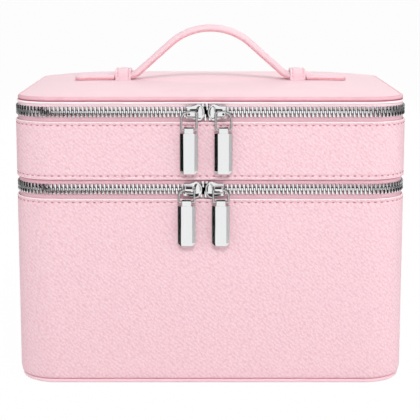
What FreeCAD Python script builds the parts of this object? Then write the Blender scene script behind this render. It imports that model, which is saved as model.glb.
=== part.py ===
import FreeCAD, Part
import math
import os

# Two-tier makeup train case. Millimetres, +Z up, the front faces -Y.
# The origin is the middle of the flat underside that the case stands on.

# Case body
CASE_WIDTH = 256.0
CASE_DEPTH = 180.0
CORNER_RADIUS = 26.0
BASE_WALL_TOP = 124.0
TRAY_WALL_HEIGHT = 37.5
ZIP_EDGE_GAP = 6.3
LID_RISE = 9.6
LID_INSET = 1.4
LID_CROWN = 3.8
LID_CROWN_RUN_X = 46.0
LID_CROWN_RUN_Y = 24.0
BASE_INSET = 1.3

# Wall layers, from the outside in, with the film of glue between them
LEATHER = 1.2
FOAM = 0.8
WALL_BOARD = 1.8
LINING = 0.6
GLUE_LINE = 0.1
BOARD_STEP_DOWN = 0.6
FLOOR_BOARD = 2.0
LID_BOARD = 1.8

# Welted edges
LID_PIPING = 3.0
BASE_PIPING = 3.3
PIPING_LIFT = 0.05

# Zip chains
TAPE = 0.6
TAPE_WIDTH = 10.0
TAPE_CLEARANCE = 0.12
TOOTH_PITCH = 2.65
TOOTH_LENGTH = 1.0
TOOTH_HEIGHT = 2.9
TOOTH_HALF_THICKNESS = 1.4
TOOTH_TIP_HALF_THICKNESS = 0.9
TOOTH_GRIP = 2.1
CHAIN_GAP = 1.0
BACK_STUB = 12.0
END_STOP_LENGTH = 2.2

# Sliders
UPPER_MEETING_X = -2.7
LOWER_MEETING_X = -4.3
NOSE_GAP = 1.7
SLIDER_LENGTH = 12.4
SLIDER_NOSE_HEIGHT = 11.4
SLIDER_TAIL_HEIGHT = 8.6
SLIDER_BACK_HEIGHT = 9.2
SLIDER_NOSE_REACH = 4.2
SLIDER_WAIST = 8.6
SLIDER_PLATE = 1.2
SLIDER_BACK_PLATE = 1.0
SLIDER_CLEARANCE = 0.3
SLIDER_POST = 0.5
SLIDER_POST_START = 1.6
SLIDER_POST_LENGTH = 4.4
SLIDER_LIP = 0.6
SLIDER_LIP_START = 8.8

# Bails and pulls
BAIL_WIRE = 1.5
BAIL_INNER_LEG = 6.1
BAIL_OUTER_LEG = 16.0
BAIL_INNER_BEND = 1.0
BAIL_OUTER_BEND = 4.2
BAIL_FOOT_BEND = 1.1
UPPER_BAIL_DROP = 11.2
LOWER_BAIL_DROP = 8.2
BAIL_PIN = 1.4
PIN_CLEARANCE = 0.06
BRIDGE_START = 7.5
BRIDGE_LENGTH = 4.6
BRIDGE_HALF_HEIGHT = 2.2
BRIDGE_WALL = 1.0
BAIL_STANDOFF = 0.15
PULL_WIDTH = 11.6
PULL_FLAT_WIDTH = 7.0
PULL_LENGTH = 26.3
PULL_THICKNESS = 3.0
PULL_EDGE = 1.3
PULL_CORNER = 2.0
NECK_WIDTH = 6.4
NECK_ABOVE_PIN = 1.9
NECK_BELOW_PIN = 2.2
PIN_BORE_SPARE = 0.3

# Cloth and leather hinge at the back
HINGE_LEATHER = 1.2
HINGE_LAP = 8.0
HINGE_BEAD_RADIUS = 0.9
HINGE_CLEARANCE = 4.0

# Handle
HANDLE_APEX = 232.2
STRAP_WIDTH = 15.0
STRAP_THICKNESS = 4.8
STRAP_EDGE_RADIUS = 1.9
ARCH_TOP_RADIUS = 42.0
ARCH_FOOT_RADIUS = 12.0
GRIP_HALF_LENGTH = 16.0
LOOP_CENTRE = 61.2
LOOP_WIDTH = 11.0
LOOP_LEATHER = 1.8
LOOP_SIDE_CLEARANCE = 0.4
LOOP_ROOM_ABOVE = 0.7
STRAP_SEAT = 0.3
STRAP_JOINT_GAP = 0.2
STRAP_LEVEL_RUN = 3.2
TAB_WIDTH = 20.0
TAB_LENGTH = 27.7
TAB_THICKNESS = 3.4
TAB_CORNER_RADIUS = 8.0
TAB_GAP = 0.6

# Dividers in the base
DIVIDER_THICKNESS = 5.0
DIVIDER_HEIGHT = 84.0
LONG_DIVIDER_Y = 18.0
CROSS_DIVIDER_X = 41.0
DIVIDER_CLEARANCE = 0.3

# Levels and layer depths worked out from the sizes above
HALF_WIDTH = CASE_WIDTH / 2
HALF_DEPTH = CASE_DEPTH / 2
LOWER_ZIP_Z = BASE_WALL_TOP + ZIP_EDGE_GAP
TRAY_BOTTOM = LOWER_ZIP_Z + ZIP_EDGE_GAP
TRAY_TOP = TRAY_BOTTOM + TRAY_WALL_HEIGHT
UPPER_ZIP_Z = TRAY_TOP + ZIP_EDGE_GAP
LID_TOP = UPPER_ZIP_Z + LID_RISE
LID_SEAT = LID_TOP + LID_CROWN
MIDDLE_LAYER = LEATHER + GLUE_LINE
BOARD_LAYER = MIDDLE_LAYER + FOAM + GLUE_LINE
LINING_LAYER = BOARD_LAYER + WALL_BOARD + GLUE_LINE
CAVITY = LINING_LAYER + LINING
TAPE_PLANE = MIDDLE_LAYER + FOAM / 2
TAPE_EDGE = CHAIN_GAP / 2 + TOOTH_HEIGHT - TOOTH_GRIP + TAPE_CLEARANCE
CHAIN_END_X = HALF_WIDTH - CORNER_RADIUS - BACK_STUB
HINGE_HALF_WIDTH = CHAIN_END_X - END_STOP_LENGTH - HINGE_CLEARANCE
HINGE_AXIS_Y = HALF_DEPTH + HINGE_LEATHER / 2
WALL_BOTTOM = PIPING_LIFT + BASE_PIPING + GLUE_LINE

UP = FreeCAD.Vector(0, 0, 1)
ALONG_X = FreeCAD.Vector(1, 0, 0)
ALONG_Y = FreeCAD.Vector(0, 1, 0)
NOWHERE = FreeCAD.Vector(0, 0, 0)


def point(x, y, z):
    return FreeCAD.Vector(x, y, z)


def block(x0, x1, y0, y1, z0, z1):
    """A box between two opposite corners."""
    return Part.makeBox(x1 - x0, y1 - y0, z1 - z0, point(x0, y0, z0))


def prism(points, sweep):
    """A solid swept from a flat polygon."""
    wire = Part.makePolygon(points + [points[0]])
    return Part.Face(wire).extrude(sweep)


def rounded_rectangle(half_x, half_y, radius, z, centre_x=0.0):
    """A closed level outline with four equal round corners."""
    edges = []
    for turn in range(4):
        start = math.pi / 2 * turn
        ways = ((1, 1), (-1, 1), (-1, -1), (1, -1))
        way_x, way_y = ways[turn]
        corner_x = centre_x + way_x * (half_x - radius)
        corner_y = way_y * (half_y - radius)
        angles = (start, start + math.pi / 4, start + math.pi / 2)
        a, b, c = [point(corner_x + radius * math.cos(t), corner_y + radius * math.sin(t), z) for t in angles]
        if edges:
            edges.append(Part.LineSegment(edges[-1].Vertexes[-1].Point, a).toShape())
        edges.append(Part.Arc(a, b, c).toShape())
    edges.append(Part.LineSegment(edges[-1].Vertexes[-1].Point, edges[0].Vertexes[0].Point).toShape())
    return Part.Wire(edges)


def case_outline(inset, z):
    """The plan of the case, drawn in by an inset."""
    return rounded_rectangle(HALF_WIDTH - inset, HALF_DEPTH - inset, CORNER_RADIUS - inset, z)


def slab(inset, bottom, top):
    """A level sheet with the plan of the case."""
    return Part.Face(case_outline(inset, bottom)).extrude(UP * (top - bottom))


def wall(outer_inset, thickness, bottom, top):
    """One layer of the wall, all the way round."""
    return slab(outer_inset, bottom, top).cut(slab(outer_inset + thickness, bottom, top))


def swept_round(path, diameter, closed=False):
    """A round cord, wire or welt along a path."""
    first = path.Edges[0]
    start = first.valueAt(first.FirstParameter)
    heading = first.tangentAt(first.FirstParameter)
    profile = Part.Wire(Part.makeCircle(diameter / 2, start, heading))
    return path.makePipeShell([profile], True, closed)


def piping(diameter, outer_inset, bottom):
    """A welt round the whole edge of the case."""
    path = case_outline(outer_inset + diameter / 2, bottom + diameter / 2)
    return swept_round(path, diameter)


def bent_path(corners, radii):
    """Straight runs through the corners, joined by tangent arcs."""
    edges = []
    start = corners[0]
    for before, corner, after, radius in zip(corners, corners[1:], corners[2:], radii):
        back = (before - corner).normalize()
        onward = (after - corner).normalize()
        half_turn = back.getAngle(onward) / 2
        reach = radius / math.tan(half_turn)
        middle = corner + (back + onward).normalize() * (radius / math.sin(half_turn) - radius)
        entry = corner + back * reach
        leave = corner + onward * reach
        edges.append(Part.LineSegment(start, entry).toShape())
        edges.append(Part.Arc(entry, middle, leave).toShape())
        start = leave
    edges.append(Part.LineSegment(start, corners[-1]).toShape())
    return Part.Wire(edges)


def mirrored(shape):
    """The same piece on the other side of the middle plane."""
    return shape.mirror(NOWHERE, ALONG_X)


# Wall layers of the base and the tray

def wall_layers(bottom, top, foam_bottom, foam_top, lining_bottom):
    """Leather, foam, board and lining of one tier."""
    return {
        "leather": wall(0.0, LEATHER, bottom, top),
        "foam": wall(MIDDLE_LAYER, FOAM, foam_bottom, foam_top),
        "board": wall(BOARD_LAYER, WALL_BOARD, bottom + BOARD_STEP_DOWN, top - BOARD_STEP_DOWN),
        "lining": wall(LINING_LAYER, LINING, lining_bottom, top - BOARD_STEP_DOWN),
    }


def make_base():
    """The deep lower tier with its floor and welted bottom edge."""
    panel_inset = BASE_INSET + BASE_PIPING + GLUE_LINE
    board_bottom = LEATHER + GLUE_LINE
    board_top = board_bottom + FLOOR_BOARD
    lining_bottom = board_top + GLUE_LINE
    foam_top = LOWER_ZIP_Z - TAPE_EDGE - TAPE_WIDTH - GLUE_LINE
    layers = wall_layers(WALL_BOTTOM, BASE_WALL_TOP, WALL_BOTTOM, foam_top, lining_bottom)
    nodes = {"base_wall_" + name: shape for name, shape in layers.items()}
    nodes["base_bottom_panel"] = slab(panel_inset, 0.0, LEATHER)
    nodes["base_piping"] = piping(BASE_PIPING, BASE_INSET, PIPING_LIFT)
    nodes["base_floor_board"] = slab(panel_inset, board_bottom, board_top)
    nodes["base_floor_lining"] = slab(CAVITY + GLUE_LINE, lining_bottom, lining_bottom + LINING)
    return nodes


def make_dividers():
    """Padded panels that stand on the floor lining of the base."""
    bottom = LEATHER + FLOOR_BOARD + LINING + 3 * GLUE_LINE
    top = bottom + DIVIDER_HEIGHT
    half_length = HALF_WIDTH - CAVITY - DIVIDER_CLEARANCE
    half = DIVIDER_THICKNESS / 2
    front = -(HALF_DEPTH - CAVITY - DIVIDER_CLEARANCE)
    back = LONG_DIVIDER_Y - half - DIVIDER_CLEARANCE
    nodes = {"divider_long": block(
        -half_length, half_length, LONG_DIVIDER_Y - half, LONG_DIVIDER_Y + half, bottom, top)}
    for side, x in (("left", -CROSS_DIVIDER_X), ("right", CROSS_DIVIDER_X)):
        nodes["divider_cross_" + side] = block(x - half, x + half, front, back, bottom, top)
    return nodes


def make_tray():
    """The shallow upper tier, whose floor closes the base."""
    underside_bottom = TRAY_BOTTOM + GLUE_LINE
    board_bottom = underside_bottom + LINING + GLUE_LINE
    lining_bottom = board_bottom + FLOOR_BOARD + GLUE_LINE
    tape_room = TAPE_EDGE + TAPE_WIDTH + GLUE_LINE
    layers = wall_layers(
        TRAY_BOTTOM, TRAY_TOP, LOWER_ZIP_Z + tape_room, UPPER_ZIP_Z - tape_room, lining_bottom)
    nodes = {"tray_wall_" + name: shape for name, shape in layers.items()}
    nodes["tray_floor_underside"] = slab(LINING_LAYER, underside_bottom, underside_bottom + LINING)
    nodes["tray_floor_board"] = slab(LINING_LAYER, board_bottom, board_bottom + FLOOR_BOARD)
    nodes["tray_floor_lining"] = slab(CAVITY + GLUE_LINE, lining_bottom, lining_bottom + LINING)
    return nodes


def crowned(inset, bottom, rim):
    """A pad with the plan of the case, level below, that swells from its rim to a flat middle."""
    steps = (0.0, 0.35, 0.7, 1.0)
    sections = [case_outline(inset, bottom)]
    for step in steps:
        sections.append(rounded_rectangle(
            HALF_WIDTH - inset - step * LID_CROWN_RUN_X, HALF_DEPTH - inset - step * LID_CROWN_RUN_Y,
            CORNER_RADIUS - inset, rim + LID_CROWN * (1 - (1 - step) ** 2)))
    return Part.makeLoft(sections, True, True)


def make_lid():
    """The padded lid, a little crowned, with its welted edge."""
    inset = LID_INSET + LID_PIPING + GLUE_LINE
    leather_bottom = LID_TOP - LEATHER
    foam_bottom = leather_bottom - GLUE_LINE - FOAM
    board_bottom = foam_bottom - GLUE_LINE - LID_BOARD
    lining_bottom = board_bottom - GLUE_LINE - LINING
    padding = crowned(inset, foam_bottom, leather_bottom)
    return {
        "lid_top_panel": crowned(inset, leather_bottom, LID_TOP).cut(padding),
        "lid_foam": crowned(inset, foam_bottom, leather_bottom - GLUE_LINE),
        "lid_board": slab(inset, board_bottom, board_bottom + LID_BOARD),
        "lid_lining": slab(inset + GLUE_LINE, lining_bottom, lining_bottom + LINING),
        "lid_piping": piping(LID_PIPING, LID_INSET, LID_TOP - LID_PIPING),
    }


# Zip tapes and chains

def zip_station(distance):
    """Place and heading of a point of the chain, measured from the middle of the front."""
    side = 1 if distance >= 0 else -1
    radius = CORNER_RADIUS - TAPE_PLANE
    straight_x = HALF_WIDTH - CORNER_RADIUS
    straight_y = 2 * (HALF_DEPTH - CORNER_RADIUS)
    quarter = math.pi / 2 * radius
    front_y = -(HALF_DEPTH - CORNER_RADIUS)
    left = abs(distance)
    if left <= straight_x:
        return side * left, front_y - radius, 0.0
    left -= straight_x
    if left <= quarter:
        turn = left / radius
        x = straight_x + radius * math.sin(turn)
        return side * x, front_y - radius * math.cos(turn), side * turn
    left -= quarter
    if left <= straight_y:
        return side * (straight_x + radius), front_y + left, side * math.pi / 2
    left -= straight_y
    if left <= quarter:
        turn = left / radius
        x = straight_x + radius * math.cos(turn)
        return side * x, -front_y + radius * math.sin(turn), side * (math.pi / 2 + turn)
    left -= quarter
    return side * (straight_x - left), -front_y + radius, side * math.pi


def chain_half_length():
    """From the middle of the front to the end of the chain at the back."""
    radius = CORNER_RADIUS - TAPE_PLANE
    return (HALF_WIDTH - CORNER_RADIUS + math.pi * radius + 2 * (HALF_DEPTH - CORNER_RADIUS)
            + BACK_STUB)


def tooth_profile(upward):
    """One metal tooth across the tape: a head towards the chain's middle and two legs on the tape."""
    tip = CHAIN_GAP / 2
    heel = tip + TOOTH_HEIGHT
    shoulder = tip + (TOOTH_HALF_THICKNESS - TOOTH_TIP_HALF_THICKNESS)
    slot = heel - TOOTH_GRIP
    slit = TAPE / 2 + TAPE_CLEARANCE
    one_side = [(tip, TOOTH_TIP_HALF_THICKNESS), (shoulder, TOOTH_HALF_THICKNESS),
                (heel, TOOTH_HALF_THICKNESS), (heel, slit), (slot, slit)]
    other_side = [(height, -depth) for height, depth in reversed(one_side)]
    return [(depth, height * upward) for height, depth in one_side + other_side]


def clamped_piece(upward, length):
    """A tooth or end stop at the origin, ready to be set along the chain."""
    corners = [point(-length / 2, depth, height) for depth, height in tooth_profile(upward)]
    return prism(corners, ALONG_X * length)


def set_on_chain(piece, distance, level):
    """A copy of a clamped piece at a distance along the chain."""
    x, y, turn = zip_station(distance)
    copy = piece.copy()
    copy.Placement = FreeCAD.Placement(point(x, y, level), FreeCAD.Rotation(UP, math.degrees(turn)))
    return copy


def chain(level, upward):
    """All the teeth on one half of a zip, half a pitch apart from the other half."""
    tooth = clamped_piece(upward, TOOTH_LENGTH)
    reach = chain_half_length()
    offset = TOOTH_PITCH / 4 * upward
    count = int((reach - TOOTH_PITCH) / TOOTH_PITCH)
    places = [step * TOOTH_PITCH + offset for step in range(-count, count + 1)]
    return Part.makeCompound([set_on_chain(tooth, place, level) for place in places])


def end_stops(level, upward):
    """The metal stops at both ends of one half of a zip."""
    stop = clamped_piece(upward, END_STOP_LENGTH)
    place = chain_half_length() + END_STOP_LENGTH
    return Part.makeCompound([set_on_chain(stop, way * place, level) for way in (-1, 1)])


def tape(bottom, top):
    """A woven zip tape round the case, open where the hinge patch is."""
    gap = block(-HINGE_HALF_WIDTH, HINGE_HALF_WIDTH, 0.0, CASE_DEPTH, bottom - 1, top + 1)
    return wall(TAPE_PLANE - TAPE / 2, TAPE, bottom, top).cut(gap)


def make_zips():
    """Two zips: tape, teeth and stops of each half."""
    lid_tape_top = LID_TOP - LID_PIPING - GLUE_LINE
    lower, upper = LOWER_ZIP_Z, UPPER_ZIP_Z
    return {
        "lower_zip_tape_base": tape(lower - TAPE_EDGE - TAPE_WIDTH, lower - TAPE_EDGE),
        "lower_zip_tape_tray": tape(lower + TAPE_EDGE, lower + TAPE_EDGE + TAPE_WIDTH),
        "upper_zip_tape_tray": tape(upper - TAPE_EDGE - TAPE_WIDTH, upper - TAPE_EDGE),
        "upper_zip_tape_lid": tape(upper + TAPE_EDGE, lid_tape_top),
        "lower_zip_teeth_base": chain(lower, -1),
        "lower_zip_teeth_tray": chain(lower, 1),
        "upper_zip_teeth_tray": chain(upper, -1),
        "upper_zip_teeth_lid": chain(upper, 1),
        "lower_zip_end_stops": end_stops(lower, -1),
        "upper_zip_end_stops": end_stops(upper, -1),
    }


# Sliders, bails and pulls, drawn for the right-hand side with the meeting point at x = 0

PLATE_INNER_Y = -HALF_DEPTH - SLIDER_CLEARANCE
PLATE_OUTER_Y = PLATE_INNER_Y - SLIDER_PLATE
BACK_PLATE_Y = -HALF_DEPTH + TAPE_PLANE + TOOTH_HALF_THICKNESS + SLIDER_CLEARANCE
BAIL_Y = PLATE_OUTER_Y - BAIL_STANDOFF - BAIL_WIRE / 2
NOSE_X = NOSE_GAP / 2
TAIL_X = NOSE_X + SLIDER_LENGTH
PULL_CENTRE_X = (BAIL_INNER_LEG + BAIL_OUTER_LEG) / 2


def slider_plate(nose_height, front_y, thickness):
    """A plate with a round nose and a narrower straight tail."""
    nose = nose_height / 2
    tail = SLIDER_TAIL_HEIGHT / 2
    shoulder_x = NOSE_X + SLIDER_NOSE_REACH
    outline = [point(shoulder_x, front_y, nose), point(NOSE_X, front_y, 0), point(shoulder_x, front_y, -nose),
               point(SLIDER_WAIST, front_y, -tail), point(TAIL_X, front_y, -tail),
               point(TAIL_X, front_y, tail), point(SLIDER_WAIST, front_y, tail)]
    edges = [Part.Arc(*outline[:3]).toShape()]
    runs = outline[2:] + outline[:1]
    for start, end in zip(runs, runs[1:]):
        edges.append(Part.LineSegment(start, end).toShape())
    return Part.Face(Part.Wire(edges)).extrude(ALONG_Y * thickness)


def slider_lips():
    """Two lips on the lower edge, one on each side of the tape."""
    outer = -SLIDER_TAIL_HEIGHT / 2
    inner = outer + SLIDER_LIP
    tape_front = -HALF_DEPTH + TAPE_PLANE - TAPE / 2
    tape_back = tape_front + TAPE
    front = block(SLIDER_LIP_START, TAIL_X, PLATE_OUTER_Y, tape_front - SLIDER_CLEARANCE, outer, inner)
    back = block(SLIDER_LIP_START, TAIL_X, tape_back + SLIDER_CLEARANCE,
                 BACK_PLATE_Y + SLIDER_BACK_PLATE, outer, inner)
    return [front, back]


def slider_bridge():
    """The raised bridge whose bore takes the crossbar of the bail."""
    outer_radius = BAIL_WIRE / 2 + PIN_CLEARANCE + BRIDGE_WALL
    crown = Part.makeCylinder(outer_radius, BRIDGE_LENGTH, point(BRIDGE_START, BAIL_Y, 0), ALONG_X)
    foot = block(BRIDGE_START, BRIDGE_START + BRIDGE_LENGTH, BAIL_Y, PLATE_INNER_Y,
                 -BRIDGE_HALF_HEIGHT, BRIDGE_HALF_HEIGHT)
    return crown.fuse(foot)


def make_slider():
    """One casting: front and back plates, the post between them, lips and bridge."""
    front = slider_plate(SLIDER_NOSE_HEIGHT, PLATE_OUTER_Y, SLIDER_PLATE)
    back = slider_plate(SLIDER_BACK_HEIGHT, BACK_PLATE_Y, SLIDER_BACK_PLATE)
    post = block(SLIDER_POST_START, SLIDER_POST_START + SLIDER_POST_LENGTH, PLATE_OUTER_Y,
                 BACK_PLATE_Y + SLIDER_BACK_PLATE, -SLIDER_POST / 2, SLIDER_POST / 2)
    bore_radius = BAIL_WIRE / 2 + PIN_CLEARANCE
    bore = Part.makeCylinder(bore_radius, BRIDGE_LENGTH, point(BRIDGE_START, BAIL_Y, 0), ALONG_X)
    body = front.multiFuse([back, post, slider_bridge()] + slider_lips())
    return body.cut(bore).removeSplitter()


def make_bail(drop):
    """A bent wire: crossbar in the bridge, two legs, and pins turned in to the pull."""
    inner, outer = BAIL_INNER_LEG, BAIL_OUTER_LEG
    inner_pin = PULL_CENTRE_X - NECK_WIDTH / 2 + BAIL_PIN
    outer_pin = PULL_CENTRE_X + NECK_WIDTH / 2 - BAIL_PIN
    corners = [point(x, BAIL_Y, z) for x, z in (
        (inner_pin, -drop), (inner, -drop), (inner, 0), (outer, 0), (outer, -drop), (outer_pin, -drop))]
    bends = [BAIL_FOOT_BEND, BAIL_INNER_BEND, BAIL_OUTER_BEND, BAIL_FOOT_BEND]
    return swept_round(bent_path(corners, bends), BAIL_WIRE)


def make_pull(drop):
    """A bevelled bar with a narrow neck, bored for the bail's pins."""
    half, flat = PULL_WIDTH / 2, PULL_FLAT_WIDTH / 2
    thick, edge = PULL_THICKNESS / 2, PULL_EDGE / 2
    shoulder = -drop - NECK_BELOW_PIN
    bottom = shoulder - PULL_LENGTH
    section = [(-half, -edge), (-flat, -thick), (flat, -thick), (half, -edge),
               (half, edge), (flat, thick), (-flat, thick), (-half, edge)]
    bar = prism([point(PULL_CENTRE_X + x, BAIL_Y + y, bottom) for x, y in section], UP * PULL_LENGTH)
    for way in (-1, 1):
        corner_x = PULL_CENTRE_X + way * half
        corner = [point(corner_x, BAIL_Y - thick, bottom),
                  point(corner_x - way * PULL_CORNER, BAIL_Y - thick, bottom),
                  point(corner_x, BAIL_Y - thick, bottom + PULL_CORNER)]
        bar = bar.cut(prism(corner, ALONG_Y * PULL_THICKNESS))
    neck = block(PULL_CENTRE_X - NECK_WIDTH / 2, PULL_CENTRE_X + NECK_WIDTH / 2, BAIL_Y - thick, BAIL_Y + thick,
                 shoulder, NECK_ABOVE_PIN - drop)
    pull = bar.fuse(neck)
    bore_depth = BAIL_PIN + PIN_BORE_SPARE
    for way in (-1, 1):
        mouth = point(PULL_CENTRE_X + way * NECK_WIDTH / 2, BAIL_Y, -drop)
        bore = Part.makeCylinder(BAIL_WIRE / 2 + PIN_CLEARANCE, bore_depth, mouth, ALONG_X * -way)
        pull = pull.cut(bore)
    return pull.removeSplitter()


def make_slider_sets():
    """Two sliders on each zip, nose to nose, each with its bail and pull."""
    nodes = {}
    for tier, level, meeting, drop in (("upper", UPPER_ZIP_Z, UPPER_MEETING_X, UPPER_BAIL_DROP),
                                       ("lower", LOWER_ZIP_Z, LOWER_MEETING_X, LOWER_BAIL_DROP)):
        pieces = {"slider": make_slider(), "bail": make_bail(drop), "pull": make_pull(drop)}
        place = point(meeting, 0, level)
        for name, shape in pieces.items():
            nodes[tier + "_" + name + "_right"] = shape.translated(place)
            nodes[tier + "_" + name + "_left"] = mirrored(shape).translated(place)
    return nodes


# Hinge patches at the back

def hinge_patch(axis_level, bottom, top):
    """A leather strip over the gap, with a creased bead along the fold."""
    inner = HALF_DEPTH + GLUE_LINE
    sheet = block(-HINGE_HALF_WIDTH, HINGE_HALF_WIDTH, inner, inner + HINGE_LEATHER, bottom, top)
    bead = Part.makeCylinder(HINGE_BEAD_RADIUS, 2 * HINGE_HALF_WIDTH,
                             point(-HINGE_HALF_WIDTH, HINGE_AXIS_Y, axis_level), ALONG_X)
    return sheet.fuse(bead).removeSplitter()


def make_hinges():
    """The lower patch laps on both tiers, the upper one turns in under the lid's welt."""
    lap = ZIP_EDGE_GAP + HINGE_LAP
    lower = hinge_patch(LOWER_ZIP_Z, LOWER_ZIP_Z - lap, LOWER_ZIP_Z + lap)
    turn_in_top = LID_TOP - LID_PIPING - GLUE_LINE
    upper = hinge_patch(UPPER_ZIP_Z, UPPER_ZIP_Z - lap, turn_in_top)
    turn_in = block(-HINGE_HALF_WIDTH, HINGE_HALF_WIDTH, HALF_DEPTH - TAPE_PLANE, HALF_DEPTH + HINGE_LEATHER,
                    turn_in_top - HINGE_LEATHER, turn_in_top)
    return {"lower_hinge_patch": lower, "upper_hinge_patch": upper.fuse(turn_in).removeSplitter()}


# Handle

def strap_profile(centre, heading):
    """The rounded section of the strap, square to its heading in the X-Z plane."""
    half_y = STRAP_WIDTH / 2
    half_t = STRAP_THICKNESS / 2
    flat = rounded_rectangle(half_t, half_y, STRAP_EDGE_RADIUS, 0.0)
    flat.rotate(NOWHERE, ALONG_Y, math.degrees(math.atan2(heading.x, heading.z)))
    flat.translate(centre)
    return flat


def arch_points():
    """Right half of the strap's centre line: level run in the loop, foot bend, top bend, grip."""
    foot_x = LOOP_CENTRE - STRAP_LEVEL_RUN
    foot_z = LID_SEAT + STRAP_SEAT + STRAP_THICKNESS / 2
    apex_z = HANDLE_APEX - STRAP_THICKNESS / 2
    both = ARCH_TOP_RADIUS + ARCH_FOOT_RADIUS
    rise = apex_z - foot_z
    flank = math.sqrt(foot_x ** 2 + (both - rise) ** 2 - both ** 2)
    slope = math.asin((both * foot_x + flank * (rise - both)) / (both ** 2 + flank ** 2))
    grip_turn = math.asin(GRIP_HALF_LENGTH / ARCH_TOP_RADIUS)

    def on_foot(turn):
        return point(foot_x - ARCH_FOOT_RADIUS * math.sin(turn), 0,
                     foot_z + ARCH_FOOT_RADIUS * (1 - math.cos(turn)))

    def on_top(turn):
        return point(ARCH_TOP_RADIUS * math.sin(turn), 0, apex_z - ARCH_TOP_RADIUS * (1 - math.cos(turn)))

    return {
        "level": [point(LOOP_CENTRE, 0, foot_z), on_foot(0)],
        "foot": [on_foot(0), on_foot(slope / 2), on_foot(slope)],
        "shoulder": [on_top(slope), on_top((slope + grip_turn) / 2), on_top(grip_turn)],
        "grip": [on_top(grip_turn), on_top(0), on_top(-grip_turn)],
    }


def strap_along(path):
    """A stretch of strap along a path in the X-Z plane."""
    first = path.Edges[0]
    start = first.valueAt(first.FirstParameter)
    heading = first.tangentAt(first.FirstParameter)
    return path.makePipeShell([strap_profile(start, heading)], True, False)


def make_tab():
    """The flat wide end of the strap, with its neck through the keeper loop."""
    bottom = LID_SEAT + STRAP_SEAT
    start = LOOP_CENTRE + LOOP_WIDTH / 2 + TAB_GAP
    end = start + TAB_LENGTH
    outline = rounded_rectangle(TAB_LENGTH / 2 + TAB_CORNER_RADIUS, TAB_WIDTH / 2, TAB_CORNER_RADIUS, bottom,
                                end - TAB_LENGTH / 2 - TAB_CORNER_RADIUS)
    paddle = Part.Face(outline).extrude(UP * TAB_THICKNESS)
    paddle = paddle.common(block(start, end, -TAB_WIDTH, TAB_WIDTH, bottom, bottom + TAB_THICKNESS))
    neck_start = point(LOOP_CENTRE + STRAP_JOINT_GAP, 0, bottom + STRAP_THICKNESS / 2)
    neck_length = start + STRAP_THICKNESS - neck_start.x
    neck = Part.Face(strap_profile(neck_start, ALONG_X)).extrude(ALONG_X * neck_length)
    return paddle.fuse(neck).removeSplitter()


def make_loop():
    """A keeper: a leather band over the strap, standing on the lid."""
    inner_half = STRAP_WIDTH / 2 + LOOP_SIDE_CLEARANCE
    inner_top = LID_SEAT + STRAP_SEAT + STRAP_THICKNESS + LOOP_ROOM_ABOVE
    outer_half = inner_half + LOOP_LEATHER
    x0 = LOOP_CENTRE - LOOP_WIDTH / 2
    x1 = x0 + LOOP_WIDTH
    band = block(x0, x1, -outer_half, outer_half, LID_SEAT, inner_top + LOOP_LEATHER)
    edges = [edge for edge in band.Edges
             if abs(edge.Vertexes[0].Z - edge.Vertexes[1].Z) < GLUE_LINE
             and edge.Vertexes[0].Z > inner_top and edge.Length > LOOP_WIDTH - GLUE_LINE
             and abs(edge.Vertexes[0].Y - edge.Vertexes[1].Y) < GLUE_LINE]
    band = band.makeFillet(LOOP_LEATHER * 2, edges)
    hole = block(x0, x1, -inner_half, inner_half, LID_SEAT, inner_top)
    return band.cut(hole)


def make_handle():
    """The strap in three stretches, its two end tabs and the keeper loops."""
    bends = arch_points()
    level = Part.LineSegment(*bends["level"]).toShape()
    foot = Part.Arc(*bends["foot"]).toShape()
    flank = Part.LineSegment(bends["foot"][-1], bends["shoulder"][0]).toShape()
    shoulder = Part.Arc(*bends["shoulder"]).toShape()
    flank_strap = strap_along(Part.Wire([level, foot, flank, shoulder]))
    tab, loop = make_tab(), make_loop()
    return {
        "handle_grip": strap_along(Part.Wire([Part.Arc(*bends["grip"]).toShape()])),
        "handle_flank_right": flank_strap,
        "handle_flank_left": mirrored(flank_strap),
        "handle_tab_right": tab,
        "handle_tab_left": mirrored(tab),
        "handle_loop_right": loop,
        "handle_loop_left": mirrored(loop),
    }


def main():
    os.makedirs("parts", exist_ok=True)
    for group in (make_base, make_dividers, make_tray, make_lid, make_zips, make_slider_sets, make_hinges,
                  make_handle):
        for name, shape in group().items():
            shape.exportStep("parts/" + name + ".step")


main()
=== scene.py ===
import math

import bmesh
import bpy
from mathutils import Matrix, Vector


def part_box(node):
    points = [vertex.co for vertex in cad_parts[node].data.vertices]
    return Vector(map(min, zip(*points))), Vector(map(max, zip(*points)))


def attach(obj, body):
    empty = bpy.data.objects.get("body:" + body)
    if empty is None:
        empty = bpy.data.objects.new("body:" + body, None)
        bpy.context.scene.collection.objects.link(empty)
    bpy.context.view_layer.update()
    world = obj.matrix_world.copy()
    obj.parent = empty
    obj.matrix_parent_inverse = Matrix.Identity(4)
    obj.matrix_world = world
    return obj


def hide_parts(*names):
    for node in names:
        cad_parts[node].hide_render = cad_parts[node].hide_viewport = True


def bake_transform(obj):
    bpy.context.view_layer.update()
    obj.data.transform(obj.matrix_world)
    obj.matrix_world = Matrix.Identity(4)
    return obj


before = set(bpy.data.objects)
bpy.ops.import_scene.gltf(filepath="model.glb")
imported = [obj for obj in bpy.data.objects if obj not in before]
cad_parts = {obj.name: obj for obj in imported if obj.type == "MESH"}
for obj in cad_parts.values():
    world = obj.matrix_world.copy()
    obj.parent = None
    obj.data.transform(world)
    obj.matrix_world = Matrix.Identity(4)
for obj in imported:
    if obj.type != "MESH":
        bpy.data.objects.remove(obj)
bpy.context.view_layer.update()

# Lengths in this script are millimetres until a piece is made
MM = 0.001
LEFT, RIGHT = -1, 1
SIDES = {"left": LEFT, "right": RIGHT}


def span(node):
    """Lowest and highest corner of a node of the frame, in millimetres."""
    low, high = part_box(node)
    return low / MM, high / MM


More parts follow.
